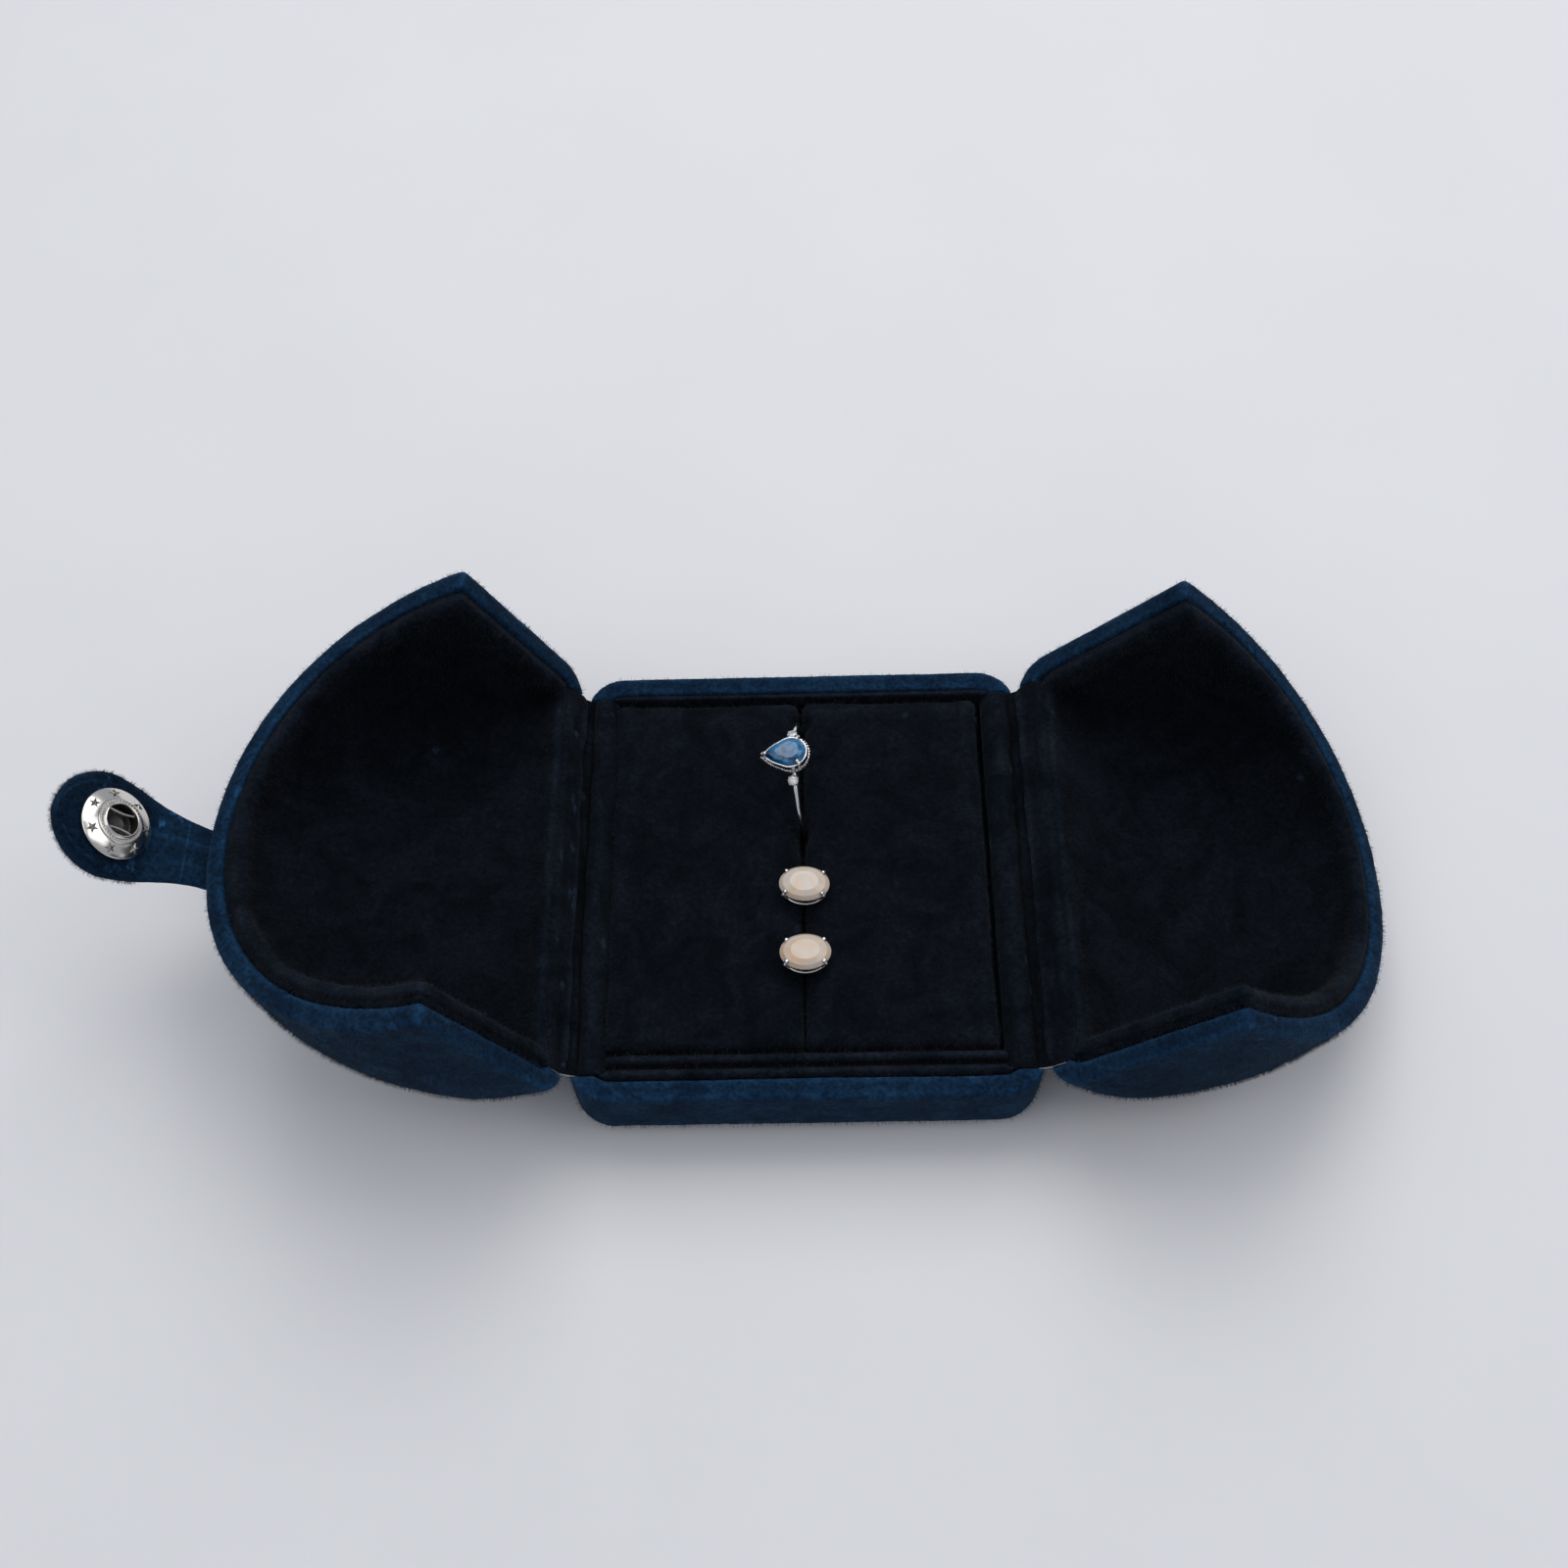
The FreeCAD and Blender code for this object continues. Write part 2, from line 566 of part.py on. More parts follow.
def stud():
    """Flange, neck and ball."""
    flange = [(0, 0.1), (4.6, 0.1), (5.0, 0.3), (4.9, 0.6), (3.6, 0.95)]
    neck = [(STUD_NECK_R, 1.0), (STUD_NECK_R, 1.98)]
    ball = [(STUD_BALL_R, 2.3), (STUD_BALL_R, 2.6), (STUD_BALL_R - 0.45, 2.95), (0, 3.0)]
    return stud_place(revolved(flange + neck + ball))


def stud_rivet():
    """Plate behind the shell and the pin that holds the stud."""
    low, high = RIVET_PLATE_LOW, RIVET_PLATE_HIGH
    edge = RIVET_PLATE_R - 0.2
    plate = [(0, low), (edge, low), (RIVET_PLATE_R, (low + high) / 2), (edge, high)]
    pin = [(RIVET_R, high), (RIVET_R, GLUE), (0, GLUE)]
    return stud_place(revolved(plate + pin))


def stud_clearance():
    """Hole for the rivet through the velvet and the shell."""
    length = 2 * SHELL_IN
    return stud_place(cylinder(RIVET_R + RIVET_ROOM, Vector(0, 0, -length), UP, length + COVER))


def rivet_pocket():
    """Room for the rivet's plate in the foam and the lining."""
    low = RIVET_PLATE_LOW - 0.15
    return stud_place(cylinder(RIVET_PLATE_R + 0.2, Vector(0, 0, low), UP, SHELL_IN + COVER + low + 1.6))


# ---- jewelry ------------------------------------------------------------------------------------
def oval(a, b, height, count=24):
    """Points round an ellipse with half axes a along X and b along Y."""
    angles = [2 * math.pi * i / count for i in range(count)]
    return [Vector(a * math.cos(angle), b * math.sin(angle), height) for angle in angles]


def pear_ring(scale, height, grow=0.0, count=20):
    """Points round a pear: a half round to +X and two straight sides to a tip at -X."""
    lean = math.acos(PEAR_ROUND_R / PEAR_TIP)
    points = []
    for i in range(count):
        a = -math.pi + 2 * math.pi * i / count
        edge = math.pi - lean
        if abs(a) <= edge:
            r = PEAR_ROUND_R + grow
            p = Vector(r * math.cos(a), r * math.sin(a), 0)
        else:
            side = 1 if a > 0 else -1
            share = (abs(a) - edge) / (math.pi - edge)
            r = PEAR_ROUND_R + grow
            start = Vector(r * math.cos(edge), side * r * math.sin(edge), 0)
            tip = Vector(-PEAR_TIP - grow * 1.3, 0, 0)
            p = start + (tip - start) * share
        points.append(Vector(p.x * scale, p.y * scale, height))
    return points


def pear_gem():
    """Faceted pear: pavilion, girdle, crown and table."""
    girdle_low = pear_ring(1.0, HEAD_Z - 0.1)
    girdle_high = pear_ring(1.0, HEAD_Z + 0.1)
    crown = pear_ring(0.82, HEAD_Z + 0.65)
    table = pear_ring(0.58, HEAD_Z + 1.0)
    pavilion = pear_ring(0.62, HEAD_Z - 0.95)
    culet = Vector(-0.3, 0, HEAD_Z - 1.75)
    faces = ring_facets(girdle_low, girdle_high) + ring_facets(girdle_high, crown)
    faces += ring_facets(crown, table) + [table]
    faces += [[b, a, c] for a, b, c in ring_facets(girdle_low, pavilion)]
    for i in range(len(pavilion)):
        faces.append([pavilion[i], pavilion[(i + 1) % len(pavilion)], culet])
    return polyhedron(faces)


def round_gem(radius, centre):
    """A small round brilliant."""
    sides = 8
    girdle = [centre + p for p in oval(radius, radius, 0.0, sides)]
    table = [centre + p for p in oval(0.6 * radius, 0.6 * radius, 0.35 * radius, sides)]
    culet = centre + Vector(0, 0, -0.8 * radius)
    faces = ring_facets(girdle, table) + [table]
    for i in range(sides):
        faces.append([girdle[i], girdle[(i + 1) % sides], culet])
    return polyhedron(faces)


def prism_between(outer, inner, height):
    """An upright wall between two outlines."""
    rise = Vector(0, 0, height)
    return outline_face(outer).extrude(rise).cut(outline_face(inner).extrude(rise))


def ring_band():
    """The plain half-round band, with a cup for each small side stone."""
    half = RING_WIDTH / 2
    rising = [(-half + 0.2, RING_R_IN), (-half, RING_R_IN + 0.2), (-half, RING_R_OUT - 0.55),
              (-half / 2, RING_R_OUT - 0.15)]
    falling = [(-x, r) for x, r in reversed(rising)]
    corners = [Vector(x, 0, r) for x, r in rising + [(0, RING_R_OUT)] + falling]
    band = outline_face(corners).revolve(Vector(), Vector(1, 0, 0), 360)
    cups = []
    for side in (-1, 1):
        cup = cylinder(SIDE_GEM_R + 0.3, Vector(0, 0, RING_R_IN + 0.5), UP, 2.3)
        bowl = Part.makeCone(0.1, SIDE_GEM_R + 0.08, 0.9, Vector(0, 0, RING_R_IN + 1.95), UP)
        cup = cup.cut(bowl)
        cup.rotate(Vector(), Vector(1, 0, 0), -side * SIDE_GEM_ANGLE)
        cups.append(cup)
    return fused([band] + cups)


def side_gems():
    """The two small round stones, one each side of the pear."""
    gems = []
    for side in (-1, 1):
        gem = round_gem(SIDE_GEM_R, Vector(0, 0, RING_R_IN + 2.86))
        gem.rotate(Vector(), Vector(1, 0, 0), -side * SIDE_GEM_ANGLE)
        gems.append(gem)
    return Part.makeCompound(gems)


def ring_setting():
    """The pear's beaded gallery, its seat on the band and its claws."""
    wall = prism_between(pear_ring(1.0, HEAD_Z - 1.2, 0.62, 40), pear_ring(1.0, HEAD_Z - 1.2, 0.16, 40), 0.75)
    pieces = [wall]
    for p in pear_ring(1.0, HEAD_Z - 0.42, 0.42, 26):
        pieces.append(Part.makeSphere(0.3, p))
    lower = prism_between(pear_ring(0.8, HEAD_Z - 2.1, 0.5, 40), pear_ring(0.8, HEAD_Z - 2.1, 0.1, 40), 0.35)
    pieces.append(lower)
    for x, y in ((-PEAR_TIP - 0.15, 0.0), (1.35, 2.25), (1.35, -2.25)):
        foot, head = Vector(0.8 * x, 0.8 * y, HEAD_Z - 2.05), Vector(x, y, HEAD_Z + 0.25)
        pieces.append(cylinder(0.24, foot, head - foot, (head - foot).Length))
        pieces.append(Part.makeSphere(0.36, head))
    for x, y in ((-1.7, 1.95), (-1.7, -1.95)):
        foot, seat = Vector(0.8 * x, 0.8 * y, HEAD_Z - 2.05), Vector(0.9 * x, 0.9 * y, HEAD_Z - 0.8)
        pieces.append(cylinder(0.2, foot, seat - foot, (seat - foot).Length))
    for side in (-1, 1):
        pieces.append(box(-0.5, 0.5, side * 2.0 - 0.4, side * 2.0 + 0.4, RING_R_IN + 1.3, HEAD_Z - 1.8))
    return pieces[0].fuse(pieces[1:]).cut(pear_gem()).cut(ring_band())


def opal():
    """Oval opal with a flat table, a facet band and a rounded back."""
    rings = [oval(0.45 * OPAL_A, 0.45 * OPAL_B, -1.5), oval(0.8 * OPAL_A, 0.8 * OPAL_B, -0.85),
             oval(OPAL_A, OPAL_B, -0.12), oval(OPAL_A, OPAL_B, 0.12),
             oval(0.86 * OPAL_A, 0.84 * OPAL_B, 0.75), oval(0.6 * OPAL_A, 0.58 * OPAL_B, 1.15)]
    faces = []
    for low, high in zip(rings, rings[1:]):
        faces += ring_facets(low, high)
    return polyhedron(faces + [rings[-1], rings[0][::-1]])


def earring_setting():
    """Four claws on an oval gallery rail, with a post below."""
    rail = prism_between(oval(3.2, 2.3, -2.6, 48), oval(2.8, 1.9, -2.6, 48), 0.35)
    pieces = [rail, box(-3.0, 3.0, -0.35, 0.35, -2.6, -2.25)]
    for x in (-1, 1):
        for y in (-1, 1):
            foot = Vector(x * 2.15, y * 1.5, -2.45)
            head = Vector(x * (OPAL_A * 0.78), y * (OPAL_B * 0.72), 0.3)
            reach = head - foot
            pieces.append(cylinder(0.25, foot, reach, reach.Length))
            pieces.append(Part.makeSphere(0.4, head))
    pieces.append(cylinder(POST_R, Vector(0, 0, -POST_DEPTH), UP, POST_DEPTH - 2.5))
    return pieces[0].fuse(pieces[1:]).cut(opal())


def earring_pose(shape, index):
    shape.rotate(Vector(), UP, EARRING_TURNS[index])
    shape.translate(Vector(EARRING_X, EARRING_YS[index], OPAL_GIRDLE_Z))
    return shape


# ---- resting pose and export --------------------------------------------------------------------
def open_left(shape):
    shape = shape.copy()
    shape.rotate(Vector(-HINGE_X, 0, HINGE_Z), Vector(0, -1, 0), LEFT_OPEN)
    return shape


def open_right(shape):
    shape = shape.copy()
    shape.rotate(Vector(HINGE_X, 0, HINGE_Z), Vector(0, 1, 0), RIGHT_OPEN)
    return shape


def mirrored(shape):
    return shape.mirror(Vector(), Vector(1, 0, 0))


def all_parts():
    parts = {}
    parts.update(base_parts())
    parts["tray_frame"] = tray_frame()
    parts["pad_board"] = pad_board()
    parts["left_pad_velvet"], parts["left_pad_foam"] = pad_half(PAD_LEFT, -PAD_SLIT)
    parts["right_pad_velvet"], parts["right_pad_foam"] = pad_half(PAD_SLIT, PAD_RIGHT)

    plastic_base, plastic_door, lining_base, lining_door = hinge_strips()
    parts["left_hinge_plastic_base_leaf"] = plastic_base
    parts["left_hinge_lining_base_half"] = lining_base
    parts["left_hinge_plastic_door_leaf"] = open_left(plastic_door)
    parts["left_hinge_lining_door_half"] = open_left(lining_door)
    parts["right_hinge_plastic_base_leaf"] = mirrored(plastic_base)
    parts["right_hinge_lining_base_half"] = mirrored(lining_base)
    parts["right_hinge_plastic_door_leaf"] = open_right(mirrored(plastic_door))
    parts["right_hinge_lining_door_half"] = open_right(mirrored(lining_door))

    for name, shape in door_parts().items():
        parts["left_door_" + name] = open_left(shape)
        room = stud_clearance() if name in ("velvet_cover", "shell") else rivet_pocket()
        parts["right_door_" + name] = open_right(mirrored(shape).cut(room))

    parts["strap_root_tab"] = open_left(strap_tab())
    for name, shape in strap_parts().items():
        parts[name] = open_left(shape)
    parts["snap_socket"] = open_left(strap_place(socket_local(), "tip"))
    for name, shape in zip(("snap_spring_wire_front", "snap_spring_wire_back"), spring_wires_local()):
        parts[name] = open_left(strap_place(shape, "tip"))
    parts["snap_cap"] = open_left(strap_place(cap_local(), "tip"))
    parts["snap_stud"] = open_right(stud())
    parts["snap_stud_rivet"] = open_right(stud_rivet())

    parts["ring_band"] = ring_pose(ring_band())
    parts["ring_setting"] = ring_pose(ring_setting())
    parts["ring_pear_gem"] = ring_pose(pear_gem())
    parts["ring_side_gems"] = ring_pose(side_gems())
    for index, place in enumerate(("back", "front")):
        parts[place + "_earring_setting"] = earring_pose(earring_setting(), index)
        parts[place + "_earring_opal"] = earring_pose(opal(), index)
    return parts


def main():
    os.makedirs("parts", exist_ok=True)
    for name, shape in all_parts().items():
        solids = shape.Solids
        whole = solids[0] if len(solids) == 1 else Part.makeCompound(solids)
        whole.exportStep(os.path.join("parts", name + ".step"))
        state = "valid" if whole.isValid() else "INVALID"
        print(name, len(solids), "solid(s)", round(whole.Volume, 1), "mm3", state)


main()
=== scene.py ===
"""Looks for the velvet jewelry gift box: velvet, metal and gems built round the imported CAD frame.

Shapes are worked out in millimetres. Door parts are shaped with the box shut, on the left, and then
mirrored for the right door and turned to the resting pose that the frame's joints give.
"""
import bpy
import json
import math
import numpy as np
from mathutils import Matrix, Vector


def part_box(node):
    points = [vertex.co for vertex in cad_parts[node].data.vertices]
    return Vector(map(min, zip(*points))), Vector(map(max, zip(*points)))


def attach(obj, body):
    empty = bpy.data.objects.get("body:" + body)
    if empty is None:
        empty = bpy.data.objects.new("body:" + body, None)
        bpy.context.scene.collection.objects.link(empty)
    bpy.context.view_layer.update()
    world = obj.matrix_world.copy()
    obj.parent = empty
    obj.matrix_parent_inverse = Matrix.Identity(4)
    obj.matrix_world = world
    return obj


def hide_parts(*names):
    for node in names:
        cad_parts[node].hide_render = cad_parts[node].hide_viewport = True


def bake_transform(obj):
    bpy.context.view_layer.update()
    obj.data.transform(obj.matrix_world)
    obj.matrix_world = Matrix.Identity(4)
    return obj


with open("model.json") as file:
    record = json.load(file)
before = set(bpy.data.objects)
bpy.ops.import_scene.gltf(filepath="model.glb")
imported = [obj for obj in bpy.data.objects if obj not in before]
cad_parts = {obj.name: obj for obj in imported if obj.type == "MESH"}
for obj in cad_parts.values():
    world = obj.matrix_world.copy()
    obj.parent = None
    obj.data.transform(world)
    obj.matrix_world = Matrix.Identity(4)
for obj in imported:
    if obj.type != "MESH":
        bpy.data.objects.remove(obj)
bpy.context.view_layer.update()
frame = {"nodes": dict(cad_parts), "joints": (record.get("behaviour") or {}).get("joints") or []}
MM = 0.001

# ---- places read from the frame ------------------------------------------------------------------
JOINTS = {joint["name"]: joint for joint in frame["joints"]}
HINGE_X = -JOINTS["left_door_hinge"]["pos_m"][0] / MM
HINGE_Z = JOINTS["left_door_hinge"]["pos_m"][2] / MM
OPEN = {side: -JOINTS[side + "_door_hinge"]["range_deg"][0] for side in ("left", "right")}
SEAM = np.array(JOINTS["strap_root_bend"]["pos_m"]) / MM
TIP_BEND = np.array(JOINTS["strap_tip_bend"]["pos_m"]) / MM


def node_box(name):
    low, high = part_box(name)
    return np.array(low) / MM, np.array(high) / MM


def node_points(name):
    """Vertices of a CAD node, in millimetres."""
    mesh = frame["nodes"][name].data
    points = np.zeros(len(mesh.vertices) * 3)
    mesh.vertices.foreach_get("co", points)
    return points.reshape(-1, 3) / MM


# ---- placing -------------------------------------------------------------------------------------
def turn_xz(points, centre_x, centre_z, degrees):
    """Turns points in the XZ plane, from +X towards +Z."""
    a = math.radians(degrees)
    x, z = points[:, 0] - centre_x, points[:, 2] - centre_z
    turned = points.copy()
    turned[:, 0] = centre_x + x * math.cos(a) - z * math.sin(a)
    turned[:, 2] = centre_z + x * math.sin(a) + z * math.cos(a)
    return turned


def open_door(points, side):
    """From the shut box, on the left, to the resting pose of that side's door."""
    turned = turn_xz(points, -HINGE_X, HINGE_Z, OPEN[side])
    if side == "right":
        turned[:, 0] *= -1
    return turned


def shut_door(points, side):
    """The opposite of open_door."""
    back = points.copy()
    if side == "right":
        back[:, 0] *= -1
    return turn_xz(back, -HINGE_X, HINGE_Z, -OPEN[side])


SHUT = shut_door(node_points("left_door_velvet_cover"), "left")
HALF_Y = SHUT[:, 1].max()
RIM_Z = SHUT[:, 2].min()
DOME_TOP = SHUT[:, 2].max()
MEET_GAP = -SHUT[:, 0].max()
PLAN_ROUND = 6.5
ARCH_POWER_MEET = 2.06
ARCH_POWER_HINGE = 4.8
ARCH_POWER_EASE = 1.3
LINING_START = 3.45       # layers of the door, in from its outside
LINING_END = 6.1
COVER_END = 3.5


def dome_grid(inset, stations=61, across=121):
    """The door's rounded side moved in by inset: rows run from the middle plane to the hinge side."""
    depth = HINGE_X - MEET_GAP - inset
    height = DOME_TOP - RIM_Z - inset
    half = HALF_Y - inset
    corner = max(PLAN_ROUND - inset, 1.0)
    turn = 0.5 * math.pi * np.linspace(0, 1, stations)[:, None]
    angle = math.pi * np.linspace(0, 1, across)[None, :]
    back = np.sin(turn)
    power = ARCH_POWER_MEET + (ARCH_POWER_HINGE - ARCH_POWER_MEET) * back ** ARCH_POWER_EASE
    past = np.maximum(0.0, depth * back - (depth - corner))
    wide = half - corner + np.sqrt(np.maximum(corner ** 2 - past ** 2, 0.0))
    side, up = np.cos(angle), np.maximum(np.sin(angle), 0.0)
    reach = (np.abs(side) ** power + up ** power) ** (-1.0 / power)
    grid = np.zeros((stations, across, 3))
    grid[..., 0] = -MEET_GAP - depth * back
    grid[..., 1] = wide * reach * side
    grid[..., 2] = RIM_Z + height * np.cos(turn) * reach * up
    grid[:, 0, 2] = grid[:, -1, 2] = grid[-1, :, 2] = RIM_Z
    return grid


# ---- mesh tools ----------------------------------------------------------------------------------
def grid_faces(rows, columns, start=0, flip=False, wrap=False):
    faces = []
    last = columns if wrap else columns - 1
    for i in range(rows - 1):
        for k in range(last):
            a, b = start + i * columns + k, start + i * columns + (k + 1) % columns
            face = (a, b, b + columns, a + columns)
            faces.append(face[::-1] if flip else face)
    return faces


def new_mesh(name, points, faces):
    """An object from points in millimetres."""
    mesh = bpy.data.meshes.new(name)
    mesh.from_pydata((np.asarray(points) * MM).tolist(), [], faces)
    mesh.validate()
    mesh.update()
    obj = bpy.data.objects.new(name, mesh)
    bpy.context.scene.collection.objects.link(obj)
    return obj


def get_points(obj):
    points = np.zeros(len(obj.data.vertices) * 3)
    obj.data.vertices.foreach_get("co", points)
    return points.reshape(-1, 3) / MM


def set_points(obj, points):
    obj.data.vertices.foreach_set("co", (points * MM).astype(np.float32).ravel())
    obj.data.update()


def normals(obj):
    out = np.zeros(len(obj.data.vertices) * 3)
    obj.data.vertices.foreach_get("normal", out)
    return out.reshape(-1, 3)


def smooth_shade(obj):
    obj.data.polygons.foreach_set("use_smooth", [True] * len(obj.data.polygons))
    obj.data.update()


def apply_modifiers(obj):
    """Replaces the object's mesh with its evaluated one."""
    graph = bpy.context.evaluated_depsgraph_get()
    mesh = bpy.data.meshes.new_from_object(obj.evaluated_get(graph))
    obj.modifiers.clear()
    old = obj.data
    obj.data = mesh
    bpy.data.meshes.remove(old)
    return obj


def voxel(obj, size):
    """Remeshes at size millimetres. The work is done at a thousand times the size."""
    obj.data.transform(Matrix.Scale(1 / MM, 4))
    modifier = obj.modifiers.new("remesh", "REMESH")
    modifier.mode = "VOXEL"
    modifier.voxel_size = size
    modifier.use_smooth_shade = True
    apply_modifiers(obj)
    obj.data.transform(Matrix.Scale(MM, 4))
    return obj


def edge_pairs(obj):
    pairs = np.zeros(len(obj.data.edges) * 2, np.int32)
    obj.data.edges.foreach_get("vertices", pairs)
    return pairs.reshape(-1, 2)


def relax(obj, rounds, keep=None):
    """Moves each point towards the middle of its neighbours; keep holds points back, 0 free to 1 fixed."""
    points = get_points(obj)
    pairs = edge_pairs(obj)
    count = np.bincount(pairs.ravel(), minlength=len(points)).astype(float)[:, None]
    hold = 0.0 if keep is None else keep[:, None]
    for _ in range(rounds):
        total = np.zeros_like(points)
        for axis in range(3):
            total[:, axis] += np.bincount(pairs[:, 0], points[pairs[:, 1], axis], len(points))
            total[:, axis] += np.bincount(pairs[:, 1], points[pairs[:, 0], axis], len(points))
        points += 0.5 * (1.0 - hold) * (total / np.maximum(count, 1) - points)
    set_points(obj, points)
    return obj


def value_noise(points, scale, seed):
    """Smooth noise from -1 to 1 with features about scale millimetres across."""
    p = points / scale + seed * 17.31
    cell = np.floor(p).astype(np.int64)
    f = p - cell
    f = f * f * (3 - 2 * f)
    total = np.zeros(len(points))
    for dx in (0, 1):
        for dy in (0, 1):
            for dz in (0, 1):
                h = (cell[:, 0] + dx) * 73856093 ^ (cell[:, 1] + dy) * 19349663 ^ (cell[:, 2] + dz) * 83492791
                h = (h ^ (h >> 13)) * 1274126177 & 0x7FFFFFFF
                value = ((h ^ (h >> 16)) % 65536) / 32767.5 - 1.0
                weight = np.abs(1 - dx - f[:, 0]) * np.abs(1 - dy - f[:, 1]) * np.abs(1 - dz - f[:, 2])
                total += value * weight
    return total


def step(low, high, x):
    """0 below low, 1 above high, smooth between."""
    t = np.clip((x - low) / (high - low), 0.0, 1.0)
    return t * t * (3 - 2 * t)


def bell(x, centre, width):
    return np.exp(-((x - centre) / width) ** 2)


def velvet_relief(obj, seed, soft=0.12, pile=0.05):
    """Gentle unevenness of stuffed fabric, and a finer one of its pile."""
    points, n = get_points(obj), normals(obj)
    lift = soft * value_noise(points, 9.0, seed) + 0.5 * soft * value_noise(points, 3.6, seed + 1)
    lift += pile * value_noise(points, 0.9, seed + 2)
    set_points(obj, points + n * lift[:, None])
    return obj


def join_nodes(name, *nodes):
    """One new object from copies of CAD nodes."""
    points, faces = [], []
    for node in nodes:
        mesh = frame["nodes"][node].data
        start = sum(len(p) for p in points)
        points.append(node_points(node))
        faces += [tuple(start + v for v in poly.vertices) for poly in mesh.polygons]
    return new_mesh(name, np.vstack(points), faces)


def triangles(obj):
    """Vertex numbers of the mesh's triangles, one row each."""
    obj.data.calc_loop_triangles()
    corners = np.zeros(len(obj.data.loop_triangles) * 3, np.int32)
    obj.data.loop_triangles.foreach_get("vertices", corners)
    return corners.reshape(-1, 3)


def signed_volume(obj):
    a, b, c = get_points(obj)[triangles(obj)].transpose(1, 0, 2)
    return float(np.einsum("ij,ij->i", a, np.cross(b, c)).sum())


def finish_piece(obj, material, slot_name, body, *replaced):
    """Outward faces, material, body, and the CAD nodes it stands for; slot_name is not used."""
    if signed_volume(obj) < 0:
        obj.data.flip_normals()
    obj.data.materials.clear()
    obj.data.materials.append(material)
    smooth_shade(obj)
    if body:
        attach(obj, body)
    if replaced:
        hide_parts(*replaced)
    return obj


FUZZ_LENGTH = 0.6
FUZZ_RADIUS = 0.02
FUZZ_LEAN = np.array([0.0, -0.35, -0.15])    # the way the pile was last brushed


def fuzz(obj, body, count, seed, material, keep=None):
    """Loose pile fibres that stand on a velvet piece and move with its body."""
    corners = triangles(obj)
    points, n = get_points(obj), normals(obj)
    a, b, c = points[corners[:, 0]], points[corners[:, 1]], points[corners[:, 2]]
    area = np.linalg.norm(np.cross(b - a, c - a), axis=1)
    rng = np.random.default_rng(seed)
    pick = np.searchsorted(np.cumsum(area) / area.sum(), rng.random(count))
    u, v = rng.random(count), rng.random(count)
    over = u + v > 1
    u[over], v[over] = 1 - u[over], 1 - v[over]
    root = a[pick] + u[:, None] * (b - a)[pick] + v[:, None] * (c - a)[pick]
    out = n[corners[pick, 0]]
    if keep is not None:
        chosen = keep(root)
        root, out = root[chosen], out[chosen]
    count = len(root)
    drift = 0.45 * np.stack([value_noise(root, 5.0, seed + k) for k in range(3)], axis=1)
    way = out + drift + FUZZ_LEAN + 0.3 * rng.normal(size=(count, 3))
    way /= np.linalg.norm(way, axis=1)[:, None]
    curl = 0.18 * rng.normal(size=(count, 3))
    length = FUZZ_LENGTH * (0.55 + 0.6 * rng.random(count))[:, None]
    strand = np.stack([root - 0.1 * out, root + 0.55 * length * way, root + length * (way + curl)], axis=1)
    curves = bpy.data.hair_curves.new(obj.name + "_fuzz")
    curves.add_curves([3] * count)
    curves.attributes["position"].data.foreach_set("vector", (strand * MM).astype(np.float32).ravel())
    radius = curves.attributes.new("radius", "FLOAT", "POINT")
    thick = FUZZ_RADIUS * MM * np.array([1.0, 0.8, 0.35], np.float32)
    radius.data.foreach_set("value", np.tile(thick, count))
    curves.materials.append(material)
    holder = bpy.data.objects.new(obj.name + "_fuzz", curves)
    bpy.context.scene.collection.objects.link(holder)
    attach(holder, body)


# ---- materials -----------------------------------------------------------------------------------
def new_material(name, **settings):
    """A material with a Principled shader; settings name its inputs, with _ for a space."""
    material = bpy.data.materials.new(name)
    material.use_nodes = True
    nodes, links = material.node_tree.nodes, material.node_tree.links
    shader = nodes["Principled BSDF"]
    for key, value in settings.items():
        shader.inputs[key.replace("_", " ")].default_value = value
    return material, nodes, links, shader


def object_noise(nodes, links, scale, detail, stretch=(1, 1, 1), distortion=0.0):
    """Noise in object space with features about 1/scale metres across."""
    where = nodes.new("ShaderNodeTexCoord")
    mapping = nodes.new("ShaderNodeMapping")
    mapping.inputs["Scale"].default_value = stretch
    noise = nodes.new("ShaderNodeTexNoise")
    noise.inputs["Scale"].default_value = scale
    noise.inputs["Detail"].default_value = detail
    noise.inputs["Distortion"].default_value = distortion
    links.new(where.outputs["Object"], mapping.inputs["Vector"])
    links.new(mapping.outputs["Vector"], noise.inputs["Vector"])
    return noise.outputs["Fac"]


def ramp(nodes, links, value, low, high, stops=(0.35, 0.65)):
    node = nodes.new("ShaderNodeValToRGB")
    for element, stop, colour in zip(node.color_ramp.elements, stops, (low, high)):
        element.position = stop
        element.color = (*colour, 1)
    links.new(value, node.inputs["Fac"])
    return node.outputs["Color"]


def mixed(nodes, links, a, b, factor=1.0, how="MIX"):
    node = nodes.new("ShaderNodeMix")
    node.data_type = "RGBA"
    node.blend_type = how
    node.inputs["Factor"].default_value = factor
    links.new(a, node.inputs["A"])
    links.new(b, node.inputs["B"])
    return node.outputs["Result"]


def spread(nodes, links, value, low, high, stops=(0.0, 1.0)):
    node = nodes.new("ShaderNodeMapRange")
    for key, number in zip(("From Min", "From Max", "To Min", "To Max"), (*stops, low, high)):
        node.inputs[key].default_value = number
    links.new(value, node.inputs["Value"])
    return node.outputs["Result"]


def roughen(nodes, links, shader, height, strength, distance):
    bump = nodes.new("ShaderNodeBump")
    bump.inputs["Strength"].default_value = strength
    bump.inputs["Distance"].default_value = distance
    links.new(height, bump.inputs["Height"])
    links.new(bump.outputs["Normal"], shader.inputs["Normal"])


